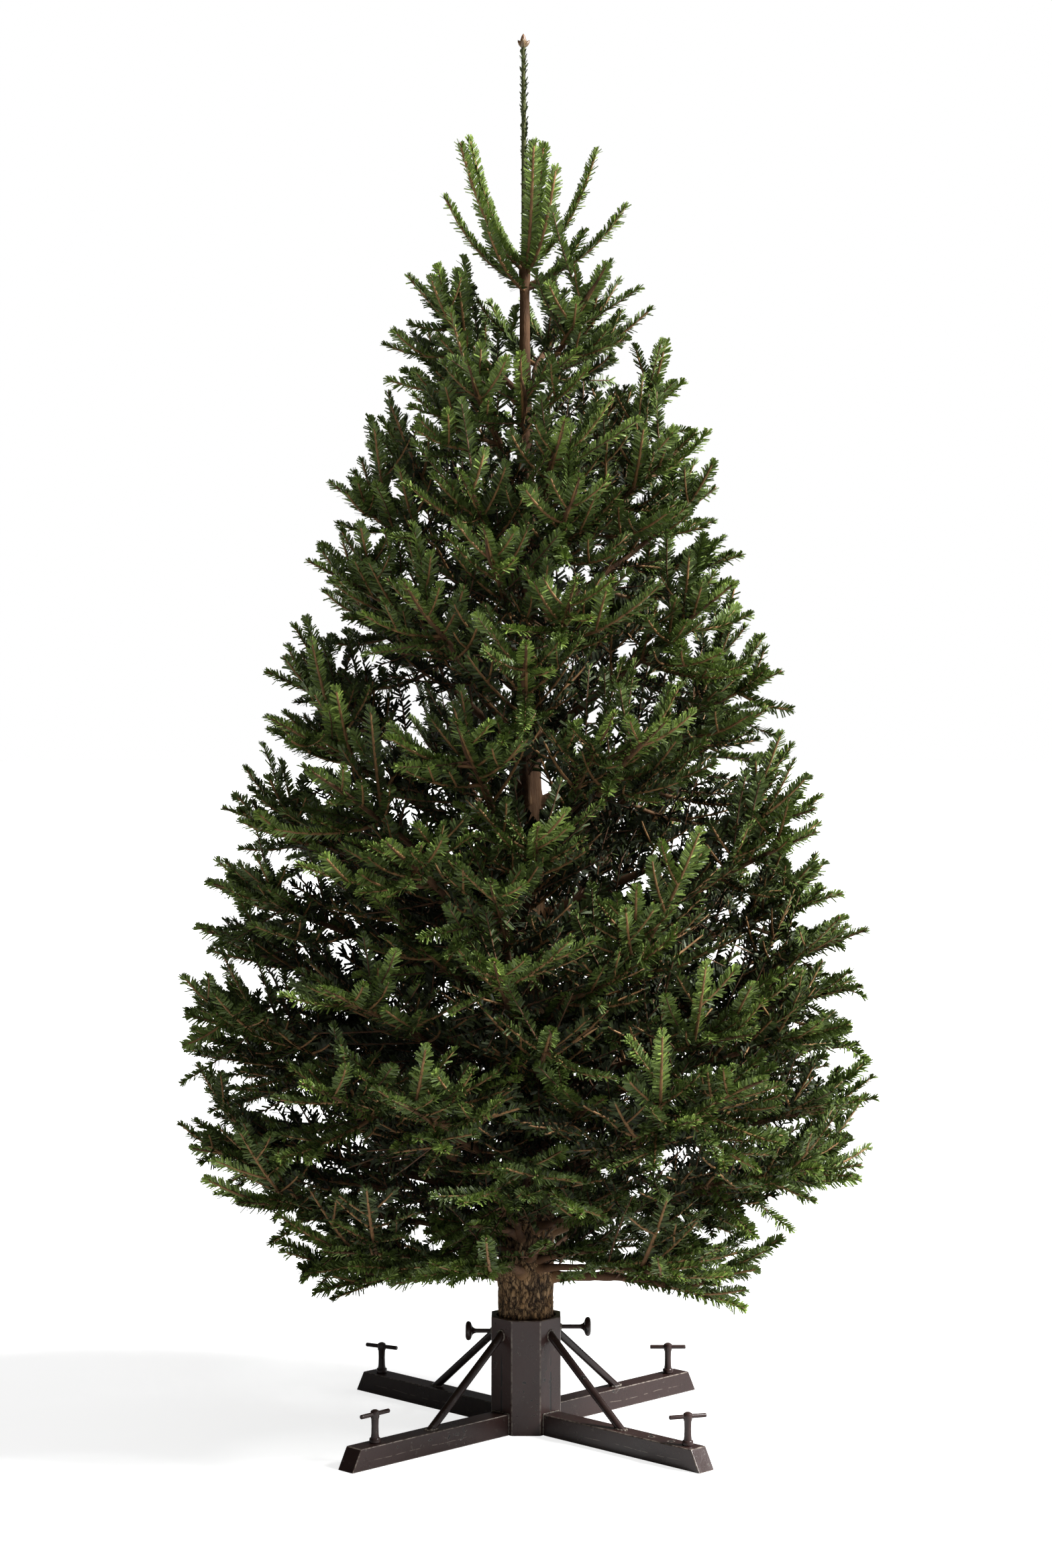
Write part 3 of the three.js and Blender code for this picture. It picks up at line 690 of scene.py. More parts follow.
def leg_scratch(finish, places):
    """A long, thin, broken scratch along the sides of the legs."""
    height = finish.node("ShaderNodeSeparateXYZ", {"Vector": places}).outputs["Z"]
    along = finish.vector("LENGTH", places)["Value"]
    drift = finish.times(finish.noise(places, 7.0, 2.0), 0.016)
    off = finish.math("SUBTRACT", finish.math("SUBTRACT", height, drift), SCRATCH_HEIGHT)
    off = finish.size_of(off)
    line = finish.span(off, 0.0002, 0.0008, 1, 0)
    broken = finish.span(finish.noise(places, 60.0, 3.0), 0.44, 0.52)
    stretch = finish.times(finish.span(along, 0.16, 0.2), finish.span(along, 0.38, 0.42, 1, 0))
    return finish.times(line, broken, stretch, 0.4)


def weld_material():
    """Weld beads: paint thin over bright ripples."""
    finish = Finish("weld_bead", (0.12, 0.1, 0.08), 0.42)
    places = finish.places()
    share = finish.span(finish.noise(places, 260.0, 2.0), 0.35, 0.7)
    finish.feed("Base Color", finish.blend(share, (0.045, 0.036, 0.033), (0.2, 0.17, 0.13)))
    finish.bump(share, 0.5, 0.0005)
    return finish.material


# The crown: where its limbs, branches and shoots grow


class Limb:
    """A limb in the upright plane of its azimuth, from the trunk's middle to its tip."""

    def __init__(self, height, azimuth, reach, rise, curve, stem, tier):
        reach = min(reach, room(azimuth))
        self.height = height
        self.azimuth = azimuth
        self.reach = reach
        self.rise = rise
        self.curve = curve
        self.stem = stem
        self.tier = tier
        # how far it ends inside the crown's outline
        tip_height = height + (rise + curve) * reach
        self.inset = max(float(interpolate(CROWN_OUTLINE, tip_height)) - reach - 0.03, 0)

    def points(self, shares):
        radius = np.asarray(shares) * self.reach
        height = self.height + self.rise * radius + self.curve * radius**2 / self.reach
        return around(self.azimuth, radius, height)

    def along(self, shares):
        shares = np.asarray(shares, float)
        return unit(self.points(shares + 0.01) - self.points(shares - 0.01))

    def line(self, shares):
        return self.points(shares), self.along(shares)

    def length(self):
        places = self.points(np.linspace(0, 1, 21))
        return float(np.linalg.norm(np.diff(places, axis=0), axis=1).sum())

    def radii(self, shares):
        """Its radius, with the swelling where it leaves the trunk."""
        shares = np.asarray(shares, float)
        places = self.points(shares)
        outside = np.hypot(places[:, 0], places[:, 1]) - interpolate(TRUNK_RADII, places[:, 2])
        swelling = 0.55 * np.exp(-np.maximum(outside, 0) / 0.014)
        slim = 0.0021 + (self.stem * 1.15 - 0.0021) * (1 - shares) ** 0.9
        return slim * (1 + swelling)


def tier_reach(height, rise, curve):
    """Where a tier's limbs meet the crown's outline."""
    reach = np.arange(0.001, 0.9, 0.001)
    heights = height + rise * reach + curve * reach
    return float(reach[np.argmax(reach >= interpolate(CROWN_OUTLINE, heights))])


def tier_limbs(random):
    """The main limbs, evenly turned round the trunk in each tier."""
    limbs = []
    for number, tier in enumerate(TIERS):
        reach = tier_reach(tier.height, tier.rise, tier.curve)
        for i in range(tier.count):
            azimuth = tier.turn + i * 360 / tier.count
            short = reach * (1 - 0.03 * random.random())
            # the lowest limb in front keeps clear of the collar
            lift = 0.3 if number == 0 and 225 < azimuth % 360 < 315 else 0.0
            rise = tier.rise + lift
            limbs.append(Limb(tier.height, azimuth, short, rise, tier.curve, tier.stem, number))
    return limbs


def front_limbs():
    """The slimmer limbs in front and at the sides."""
    limbs = []
    for height, azimuth, reach, tip_height in FRONT_LIMBS:
        number = int(np.argmin([abs(tier.height - height) for tier in TIERS]))
        rise = (tip_height - height) / reach + 0.08
        stem = TIERS[number].stem * 0.8
        limbs.append(Limb(height, azimuth, reach, rise, -0.08, stem, number))
    return limbs


def has_near(limbs, height, azimuth, most):
    """Whether a limb leaves the trunk near a place, up to most higher or lower."""
    return any(
        abs((limb.azimuth - azimuth + 180) % 360 - 180) < 20 and abs(limb.height - height) < most
        for limb in limbs
    )


def all_limbs(random):
    """All limbs, the last ones slimmer, halfway between those of a tier and the tier above."""
    limbs = tier_limbs(random) + front_limbs()
    for number, (tier, upper) in enumerate(zip(TIERS, TIERS[1:])):
        height = tier.height + 0.42 * (upper.height - tier.height)
        lowest = number == 0
        places = tier.count + 3 if lowest else tier.count
        for i in range(places):
            azimuth = tier.turn + (i + 0.5) * 360 / places + 16 * (random.random() - 0.5)
            if has_near(limbs, height, azimuth, 0.07 if lowest else 0.13):
                continue
            rise, curve = (tier.rise + upper.rise) / 2, (tier.curve + upper.curve) / 2
            reach = tier_reach(height, rise, curve) * (1 - 0.05 * random.random())
            limbs.append(Limb(height, azimuth, reach, rise, curve, tier.stem * 0.75, number))
    return limbs


def outline_tips(random):
    """Places on the crown's outline, evenly spread in zigzag rows."""
    tips = []
    low, high = 0.27, 2.16
    rows = round((high - low) / TIP_SPACING)
    for row in range(rows):
        middle = low + (high - low) * (row + 0.5) / rows
        columns = round(2 * math.pi * float(interpolate(CROWN_OUTLINE, middle)) / TIP_SPACING)
        for column in range(columns):
            place = HIGH_TIP if (row + column) % 2 else LOW_TIP
            height = low + (high - low) * (row + place + 0.3 * (random.random() - 0.5)) / rows
            azimuth = 360 * (column + 0.5 + 0.5 * (random.random() - 0.5)) / columns + 11 * row
            depth = 0.04 * random.random()
            if random.random() < 0.55:
                depth += TIP_DEPTH * (0.3 + 0.7 * random.random())
            radius = float(interpolate(CROWN_OUTLINE, height)) * (1 - depth) - 0.012
            tip = around(azimuth, min(radius, room(azimuth)), height)
            if not in_opening(tip):
                tips.append(tip)
    return np.array(tips)


class Shoots:
    """Rows of shoots, each a bent line through three points, with what it carries."""

    FIELDS = ("root", "bend", "tip", "thick", "thin", "bare", "dense", "tier", "order", "inset")

    def __init__(self):
        self.rows = []
        self.inset = 0.0

    def add(self, root, bend, tip, thick, thin, bare, dense, tier, order):
        """thick and thin are radii, bare the share with no needles, dense the needles' number."""
        self.rows.append((root, bend, tip, thick, thin, bare, dense, tier, order, self.inset))

    def arrays(self):
        return {name: np.array(values) for name, values in zip(self.FIELDS, zip(*self.rows))}


def bent(root, bend, tip, share):
    share = np.asarray(share)[..., None]
    return (1 - share) ** 2 * root + 2 * share * (1 - share) * bend + share**2 * tip


def bent_along(root, bend, tip, share):
    share = np.asarray(share)[..., None]
    return unit((1 - share) * (bend - root) + share * (tip - bend))


def line_of(root, bend, tip):
    """Gives the place and the direction at a share of a bent line."""
    return lambda at: (bent(root, bend, tip, at), bent_along(root, bend, tip, at))


# How side shoots stand on what carries them: the share of it where they start, how far behind its
# tip the first pair is, the gap between pairs, and the longest shoot
ON_SHOOTS = (0.3, 0.055, 0.06, 0.07)
ON_BRANCHES = (0.25, 0.085, 0.056, 0.105)
ON_LIMBS = (0.35, 0.092, 0.062, 0.15)
THIN_TIP = 0.0016
# A side shoot longer than this carries shoots of its own
CARRYING_LENGTH = 0.135


def grow_side_shoots(shoots, random, line, length, tier, order, spread):
    """Pairs of shoots on a carrier, whose line gives the place and the direction at a share."""
    start, first, gap, most = spread
    behind = first * (0.85 + 0.3 * random.random())
    while behind < length * (1 - start):
        for side in (-1, 1):
            if random.random() < 0.05:
                continue
            place, along = line(1 - (behind + 0.008 * side * random.random()) / length)
            across = unit(np.cross(along, UP))
            above = np.cross(across, along)
            size = min(0.045 + 0.5 * behind, most) * (0.82 + 0.32 * random.random())
            upturn = float(interpolate(UPTURN, place[2]))
            lift = 0.25 * upturn + 0.8 * (random.random() - 0.45)
            out = unit(side * across + lift * above)
            swing = math.radians(50 + 12 * (random.random() - 0.5))
            near = math.cos(swing) * along + math.sin(swing) * out
            far = unit(near + 0.3 * along + 0.55 * upturn * UP)
            bend = place + near * size * 0.5
            tip = bend + far * size * 0.5
            if not in_crown(tip) or in_opening(bend):
                continue
            thick = THIN_TIP + 0.012 * size
            shoots.add(place, bend, tip, thick, THIN_TIP, 0.05, 1.0, tier, order)
            if size > CARRYING_LENGTH and order < 3:
                carrier = line_of(place, bend, tip)
                grow_side_shoots(shoots, random, carrier, size, tier, order + 1, ON_SHOOTS)
        behind += gap * (0.85 + 0.35 * random.random())


def in_opening(place):
    """Whether a place hides one of the crown's openings from in front."""
    back = -CAMERA_PLACE[1] / (place[1] - CAMERA_PLACE[1])
    x = place[0] * back
    z = CAMERA_PLACE[2] + (place[2] - CAMERA_PLACE[2]) * back
    return any(
        left < x < right and low < z < high and (place[1] < 0 or not in_front)
        for left, right, low, high, in_front in OPENINGS
    )


def room(azimuth):
    """The furthest that anything may grow in a direction inside the CAD's box."""
    turn = math.radians(azimuth)
    low, high = CAD_BOX
    reach = 1.0
    for share, least, most in ((math.cos(turn), low[0], high[0]), (math.sin(turn), low[1], high[1])):
        reach = min(reach, (least if share < 0 else most) / (share or 1e-9))
    return reach - 0.014


def in_crown(place):
    low, high = CAD_BOX
    radius = math.hypot(place[0], place[1])
    if in_opening(place):
        return False
    return (
        radius < float(interpolate(CROWN_OUTLINE, place[2])) - 0.02
        and radius > float(interpolate(TRUNK_RADII, place[2])) + 0.03
        and low[1] + 0.024 < place[1] < high[1] - 0.024
        and place[2] > 0.25
    )


def nearest_roots(tips, limbs):
    """The limb, and the share of its length, that the branch to each tip best grows from."""
    shares = np.linspace(0.12, 0.9, 40)
    best = np.full(len(tips), np.inf)
    owner = np.zeros(len(tips), int)
    root_share = np.zeros(len(tips))
    for number, limb in enumerate(limbs):
        roots = limb.points(shares)[None]
        ways = tips[:, None, :] - roots
        lengths = np.linalg.norm(ways, axis=2)
        cosines = (ways * limb.along(shares)[None]).sum(2) / lengths
        swing = np.degrees(np.arccos(np.clip(cosines, -1, 1)))
        drop = np.maximum(roots[..., 2] + 0.1 * lengths - tips[:, None, 2], 0)
        cost = lengths + 0.004 * np.abs(swing - BRANCH_SWING) + 0.8 * drop
        place = cost.argmin(1)
        value = cost[np.arange(len(tips)), place]
        better = value < best
        best[better], owner[better] = value[better], number
        root_share[better] = shares[place[better]]
    return owner, root_share


def grow_branches(shoots, random, limbs):
    """Branches with side shoots, out to the tips on the crown's outline."""
    tips = outline_tips(random)
    ends = np.array([limb.points(1.0) for limb in limbs])
    for tip, number, share in zip(tips, *nearest_roots(tips, limbs)):
        limb = limbs[number]
        if np.linalg.norm(ends - tip, axis=1).min() < END_ROOM:
            continue
        root = limb.points(share)
        length = float(np.linalg.norm(tip - root))
        sag = 0.05 + 0.13 * float(np.clip(interpolate(UPTURN, tip[2]), 0, 1))
        bend = (root + tip) / 2 - UP * sag * length
        if in_opening(bend) or in_opening((bend + tip) / 2):
            continue
        thick = 0.0024 + 0.009 * length
        bare = min(0.3, max(0.04, 0.25 * (length / 0.3)))
        shoots.add(root, bend, tip, thick, 0.0018, bare, 1.0, limb.tier, 1)
        line = line_of(root, bend, tip)
        grow_side_shoots(shoots, random, line, length, limb.tier, 2, ON_BRANCHES)


def grow_on_limb(shoots, random, limb):
    """A limb's green end, its side shoots, and the thin shoots inside the crown."""
    shoots.inset = limb.inset
    length = limb.length()
    start = max(0.45, 1 - 0.32 / length)
    root, tip = limb.points(start), limb.points(1.0)
    middle = limb.points((1 + start) / 2)
    bend = 2 * middle - (root + tip) / 2
    radii = limb.radii([start, 1.0])
    shoots.add(root, bend, tip, radii[0] * 0.9, 0.0018, 0.0, 1.0, limb.tier, LIMB_END)
    grow_side_shoots(shoots, random, limb.line, length, limb.tier, 1, ON_LIMBS)
    inner = round(INNER_SHOOTS * length)
    for i in range(inner):
        share = 0.12 + 0.7 * (i + random.random()) / inner
        place, along = limb.points(share), limb.along(share)
        roll = random.uniform(-0.5, 1.0) * math.pi
        across = unit(np.cross(along, UP))
        out = math.cos(roll) * across + math.sin(roll) * np.cross(across, along)
        size = random.uniform(0.12, 0.2)
        tip = place + unit(along * 0.75 + out) * size
        bend = (place + tip) / 2 + out * size * 0.1
        if in_crown(tip) and not in_opening(bend):
            shoots.add(place, bend, tip, 0.0022, 0.0012, 0.1, 0.75, limb.tier, INNER)


def grow_top(shoots):
    """The upright shoots round the leader, and the leader itself."""
    shoots.inset = 0.0
    for azimuth, radius, height, root_height in TOP_SHOOTS:
        root, tip = around(azimuth, 0.004, root_height), around(azimuth, radius, height)
        bend = around(azimuth, radius * 0.62, root_height + 0.22 * (height - root_height))
        shoots.add(root, bend, tip, 0.0042, 0.0024, 0.08, 1.5, len(TIERS), UPRIGHT)
    foot, peak = np.array([0, 0, 2.19]), np.array([TIP_LEAN * 0.97, 0, 2.578])
    middle = np.array([TIP_LEAN * 0.75, 0, 2.39])
    shoots.add(foot, middle, peak, 0.003, 0.003, 0.0, 0.5, len(TIERS), LEADER)


def grow_crown():
    """Limbs, and shoots on them, by the source's rule: limbs in tiers, from each limb branches
    out to tips on the crown's outline, and finer shoots on all of them."""
    random = np.random.RandomState(SEED)
    limbs = all_limbs(random)
    shoots = Shoots()
    grow_branches(shoots, random, limbs)
    for limb in limbs:
        grow_on_limb(shoots, random, limb)
    grow_top(shoots)
    return limbs, shoots.arrays()


GROWN = {}


def grown():
    if not GROWN:
        GROWN["limbs"], GROWN["shoots"] = grow_crown()
    return GROWN["limbs"], GROWN["shoots"]


def masses_of(tiers):
    names = []
    for tier in tiers:
        if tier < len(TIERS):
            names += [f"mass_{tier + 1}_{letter}" for letter in TIER_NODES[:TIERS[tier].count]]
        else:
            names += [f"mass_{tier + 1}_{letter}" for letter in "abcd"]
    return names


# Tubes for limbs and twigs


def tubes(lines, radii, sides, above=UP):
    """Places and faces of tubes along lines: lines is an array of tubes by rings by 3."""
    count, rings, _ = lines.shape
    along = np.gradient(lines, axis=1)
    along = unit(along)
    across = np.cross(along, above)
    weak = np.linalg.norm(across, axis=2) < 0.05
    across[weak] = np.array([1.0, 0.0, 0.0])
    across = unit(across)
    over = np.cross(across, along)
    turn = 2 * np.pi * np.arange(sides) / sides
    ring = across[:, :, None] * np.cos(turn)[:, None] + over[:, :, None] * np.sin(turn)[:, None]
    places = lines[:, :, None] + ring * radii[:, :, None, None]
    first = np.arange(count * rings * sides).reshape(count, rings, sides)
    here, beside = first[:, :-1], np.roll(first, -1, axis=2)[:, :-1]
    ahead, diagonal = first[:, 1:], np.roll(first, -1, axis=2)[:, 1:]
    faces = np.stack([here, beside, diagonal, ahead], axis=-1).reshape(-1, 4)
    return places, faces


class FIR_OT_collar(bpy.types.Operator):
    """Build the octagonal collar with its bore"""

    bl_idname = "fir.collar"
    bl_label = "Collar"

    def execute(self, context):
        settings = context.scene.fir_stand
        height = settings.collar_height
        piece = primitive(
            bpy.ops.mesh.primitive_cylinder_add, "collar", vertices=8,
            radius=COLLAR_APOTHEM / math.cos(math.pi / 8), depth=height,
            location=(0, 0, height / 2), rotation=(0, 0, math.pi / 8),
        )
        bore = primitive(
            bpy.ops.mesh.primitive_cylinder_add, "bore", vertices=72, radius=BORE_RADIUS,
            depth=height, location=(0, 0, height / 2 + BASE_PLATE),
        )
        apply_modifier(piece, "BOOLEAN", operation="DIFFERENCE", object=bore, solver="EXACT")
        discard(bore)
        round_edges(piece, settings.edge, 0.0006)
        paint = paint_material("collar_paint", settings, "collar")
        settle(piece, [paint], "stand_steel", "stand_collar")
        return {"FINISHED"}


def settle_at_corners(pattern, kind, settings):
    """Sets a copy of a painted piece at each corner, in place of the CAD's, and drops the first."""
    paint = paint_material(kind + "_paint", settings, kind)
    for name, (azimuth, _, _) in CORNERS.items():
        piece = turned_copy(pattern, f"{kind}_{name}", azimuth)
        settle(piece, [paint], "stand_steel", f"stand_{kind}_{name}")
    discard(pattern)


class FIR_OT_legs(bpy.types.Operator):
    """Build the four legs of square tube with slanted, closed ends"""

    bl_idname = "fir.legs"
    bl_label = "Legs"

    def execute(self, context):
        settings = context.scene.fir_stand
        side = settings.leg_side
        length = LEG_REACH - LEG_START
        leg = primitive(
            bpy.ops.mesh.primitive_cube_add, "leg", size=1,
            location=(LEG_START + length / 2, 0, side / 2), scale=(length, side, side),
        )
        # the end face leans back over the leg
        select_faces(leg, lambda centre, normal: normal.x > 0.9)
        bpy.context.tool_settings.mesh_select_mode = (True, False, False)
        shape = bmesh.from_edit_mesh(leg.data)
        for point in shape.verts:
            point.select_set(point.co.x > LEG_REACH - 0.001 and point.co.z > side / 2)
        bmesh.update_edit_mesh(leg.data)
        bpy.ops.transform.translate(value=(-LEG_SLANT, 0, 0))
        leave_edit()
        round_edges(leg, settings.edge, 0.001)
        settle_at_corners(leg, "leg", settings)
        return {"FINISHED"}


class FIR_OT_braces(bpy.types.Operator):
    """Build the four round braces between collar and legs"""

    bl_idname = "fir.braces"
    bl_label = "Braces"

    def execute(self, context):
        settings = context.scene.fir_stand
        head = Vector((BRACE_HEAD[0], 0, BRACE_HEAD[1]))
        foot = Vector((BRACE_FOOT[0], 0, BRACE_FOOT[1]))
        way = head - foot
        brace = primitive(
            bpy.ops.mesh.primitive_cylinder_add, "brace", vertices=40, radius=BRACE_RADIUS,
            depth=way.length + 0.04, location=(head + foot) / 2,
            rotation=(0, -way.angle(Vector((0, 0, 1))), 0),
        )
        # cut flush with the collar and with the leg
        for place, normal in ((head, (1, 0, 0)), (foot + Vector((0, 0, 0.0002)), (0, 0, 1))):
            select_faces(brace, lambda centre, facing: True)
            bpy.ops.mesh.bisect(
                plane_co=place, plane_no=normal, use_fill=True, clear_inner=True
            )
            leave_edit()
        bpy.ops.object.shade_smooth_by_angle(angle=SMOOTH_ANGLE)
        mark_edges(brace, 0.0)
        settle_at_corners(brace, "brace", settings)
        return {"FINISHED"}


class FIR_OT_levelling_screws(bpy.types.Operator):
    """Build the levelling screws with their cross bars"""

    bl_idname = "fir.levelling_screws"
    bl_label = "Levelling screws"

    def execute(self, context):
        material = paint_material("screw_paint", context.scene.fir_stand, "screw")
        for name, (azimuth, reach, bar_turn) in CORNERS.items():
            stem = turned("stem", 32, LEVELLING_STEPS)
            bar = turned("bar", 24, BAR_STEPS)
            bar.rotation_euler = (0, math.pi / 2, math.radians(bar_turn))
            bar.location = (0, 0, BAR_HEIGHT)
            place_in_mesh(bar)
            piece = joined("levelling_" + name, [stem, bar])
            turn = math.radians(azimuth)
            piece.location = (reach * math.cos(turn), reach * math.sin(turn), 0)
            place_in_mesh(piece)
            mark_edges(piece, 0.0)
            settle(piece, [material], "screw_steel", "levelling_screw_" + name)
        return {"FINISHED"}


class FIR_OT_clamp_screws(bpy.types.Operator):
    """Build the clamp screws with their knobs"""

    bl_idname = "fir.clamp_screws"
    bl_label = "Clamp screws"

    def execute(self, context):
        material = bpy.data.materials["screw_paint"]
        for name, (azimuth, height, reach) in CLAMPS.items():
            trunk = float(interpolate(TRUNK_RADII, height)) + 0.0003
            steps = [(trunk, 0.003), (trunk + 0.001, 0.004)]
            steps += [(reach + place, radius) for place, radius in CLAMP_STEPS]
            piece = turned("clamp_" + name, 40, steps)
            piece.rotation_euler = (0, math.pi / 2, math.radians(azimuth))
            piece.location = (0, 0, height)
            place_in_mesh(piece)
            mark_edges(piece, 0.0)
            settle(piece, [material], "screw_steel", "clamp_screw_" + name)
        return {"FINISHED"}


# Length of a weld bead's ripples, and how far the middle of a brace's bead stands off the steel
RIPPLE = 0.0011
OFF_STEEL = 0.0003
# Radius of the bead where a clamp screw enters the collar
CLAMP_BEAD = 0.0048


def bead(path, radius, random, ripple=0.25):
    """A rippled bead of weld along a path, drawn out to a fine tip at both ends."""
    path = np.array(path)
    steps = np.linalg.norm(np.diff(path, axis=0), axis=1)
    along = np.concatenate([[0], np.cumsum(steps)])
    count = max(int(along[-1] / RIPPLE), 12)
    at = np.linspace(0, along[-1], count)
    line = np.stack([np.interp(at, along, path[:, axis]) for axis in range(3)], axis=1)
    uneven = 0.3 * (random.random_sample(count) - 0.5)
    radii = radius * (1 + ripple * np.sin(at / RIPPLE) + uneven)
    radii[[0, -1]] = 2 * SAME_PLACE
    places, faces = tubes(line[None], radii[None], 7, above=np.array([0.31, 0.2, 0.93]))
    return places.reshape(-1, 3), faces


def along_cut(turns, radius, plane_axis, plane):
    """The oval where a brace, a little thicker, meets an upright or a level plane."""
    way = np.array([BRACE_FOOT[0] - BRACE_HEAD[0], 0, BRACE_FOOT[1] - BRACE_HEAD[1]])
    way = unit(way)
    beside = np.array([-way[2], 0, way[0]])
    middle = np.array([BRACE_HEAD[0], 0, BRACE_HEAD[1]])
    oval = []
    for turn in turns:
        place = middle + radius * (math.cos(turn) * beside + math.sin(turn) * np.array([0, 1, 0]))
        oval.append(place + way * (plane - place[plane_axis]) / way[plane_axis])
    return oval


class FIR_OT_welds(bpy.types.Operator):
    """Run weld beads round the joints of collar, legs and braces"""

    bl_idname = "fir.welds"
    bl_label = "Weld beads"

    def execute(self, context):
        settings = context.scene.fir_stand
        random = np.random.RandomState(SEED + 2)
        half, top = settings.leg_side / 2 + 0.0004, settings.leg_side + 0.0004
        out = LEG_START + 0.0006
        legs = [(out, -half, 0.003), (out, -half, top), (out, half, top), (out, half, 0.003)]
        turns = np.linspace(0, 2 * np.pi, 49)
        beads = []
        for azimuth, _, _ in CORNERS.values():
            turn = math.radians(azimuth)
            spin = np.array([
                [math.cos(turn), math.sin(turn), 0],
                [-math.sin(turn), math.cos(turn), 0],
                [0, 0, 1],
            ])
            round_brace = BRACE_RADIUS + 2 * OFF_STEEL
            head = along_cut(turns, round_brace, 0, LEG_START + OFF_STEEL)
            foot = along_cut(turns, round_brace, 2, settings.leg_side + OFF_STEEL)
            for path, radius in ((legs, 0.0014), (head, 0.0014), (foot, 0.0018)):
                places, faces = bead(path, radius, random)
                beads.append((places @ spin, faces))
        for azimuth, height, _ in CLAMPS.values():
            side = math.cos(math.radians(azimuth))
            face = side * (COLLAR_APOTHEM + 0.0008)
            ring = [
                (face, CLAMP_BEAD * math.cos(t), height + CLAMP_BEAD * math.sin(t)) for t in turns
            ]
            beads.append(bead(ring, 0.0016, random, 0.05))
        settle(joined_mesh("weld_beads", beads), [weld_material()], "stand_steel")
        return {"FINISHED"}


# Points of each limb's mesh: along it and round it
LIMB_RINGS, LIMB_SIDES = 44, 9


class FIR_OT_limbs(bpy.types.Operator):
    """Build the limbs with their bark"""

    bl_idname = "fir.limbs"
    bl_label = "Limbs"

    def execute(self, context):
        limbs, _ = grown()
        shares = np.linspace(0.0, 1.0, LIMB_RINGS)
        lines, radii = [], []
        for number, limb in enumerate(limbs):
            start = 0.45 * float(interpolate(TRUNK_RADII, limb.height)) / limb.reach
            at = start + (1 - start) * shares
            line = limb.points(at)
            along = limb.along(at)
            across = unit(np.cross(along, UP))
            sway = 0.006 * np.sin(shares * 11 + number * 1.7) * smooth_step(0.08, 0.3, shares)
            line = line + across * (sway * smooth_step(1.0, 0.8, shares))[:, None]
            lines.append(line)
            radii.append(limb.radii(at))
        lines, radii = np.array(lines), np.array(radii)
        places, faces = tubes(lines, radii, LIMB_SIDES)
        places = places.reshape(-1, 3)
        centres = np.repeat(lines[:, :, None], LIMB_SIDES, axis=2).reshape(-1, 3)
        thickness = np.repeat(radii[:, :, None], LIMB_SIDES, axis=2).ravel()
        rough = np.array([noise.noise(Vector(place) * 95.0) for place in places])
        apart = Vector((7, 3, 1))
        knots = np.array([noise.noise(Vector(place) * 34.0 + apart) for place in places])
        out = unit(places - centres)
        places = places + out * (thickness * (0.2 * rough + 0.16 * knots))[:, None]
        piece = mesh_object("limb_bark", places, faces, smooth=True)
        # groove: painted shade in the hollows of the limbs' rough bark
        add_attribute(piece, "groove", np.clip(-rough * 1.6 - 0.35, 0, 0.7))
        add_attribute(piece, "age", smooth_step(0.007, 0.015, thickness) * 0.6)
        add_attribute(piece, "green", np.zeros(len(places)))
        boughs = [f"bough_2_{letter}" for letter in TIER_NODES]
        settle(piece, [bpy.data.materials["fir_bark"]], "bark", *boughs)
        return {"FINISHED"}


# Points of the trunk's mesh: round it, and rows up it
TRUNK_SIDES, TRUNK_RINGS = 150, 236
# Width and height of the bark's plates at the foot
PLATE_WIDTH, PLATE_HEIGHT = 0.0105, 0.03


def trunk_rows():
    """Heights and radii of the rows of points, from the middle of the cut to the tip."""
    foot = np.concatenate([[0.0063, 0.0064, 0.0075], np.linspace(0.02, 0.2, 7)])
    cracked = np.linspace(0.206, 0.62, 118)
    peak = [2.583, 2.586]
    left = TRUNK_RINGS + 1 - len(foot) - len(cracked) - len(peak)
    upper = np.linspace(0.62, 2.575, left + 1)[1:]
    heights = np.concatenate([foot, cracked, upper, peak])
    radii = interpolate(TRUNK_RADII, heights)
    radii[0] = 0
    radii[-2:] = (0.002, 0)
    # the rim of the cut is rounded
    radii[1] -= 0.0012
    return heights, radii


def bark_pattern(places, radius):
    """How much of a groove between plates, and how much of a lump, there is at each place."""
    groove = np.zeros(len(places))
    lump = np.zeros(len(places))
    for i, (x, y, z) in enumerate(places):
        if radius[i] == 0:
            continue
        wobble = noise.noise(Vector((x * 95, y * 95, z * 48)))
        sway = noise.noise(Vector((x * 48, y * 48, z * 24 + 5)))
        near = noise.voronoi(Vector((
            x / PLATE_WIDTH + wobble * 0.8,
            y / PLATE_WIDTH + sway * 1.1,
            z / PLATE_HEIGHT + wobble * 0.7,
        )))[0]
        fine = noise.noise(Vector((x * 170, y * 170, z * 60)))
        groove[i] = 1 - min(max((near[1] - near[0]) / 0.25 - 0.05 + 0.2 * fine, 0), 1)
        lump[i] = noise.noise(Vector((x * 42, y * 42, z * 17)))
    return groove, lump


def root_swellings(limbs, turn, height, radius):
    """How far the trunk swells at each place where limbs leave it."""
    swelling = np.zeros(len(height))
    for limb in limbs:
        if limb.height > 1.6:
            continue
        root = limb.height + limb.rise * float(interpolate(TRUNK_RADII, limb.height))
        off = (turn - math.radians(limb.azimuth) + np.pi) % (2 * np.pi) - np.pi
        gap = np.hypot(off * radius, (height - root) * 0.8)
        swelling += 0.55 * limb.stem * np.exp(-((gap / (limb.stem * 1.9)) ** 2))
    return swelling


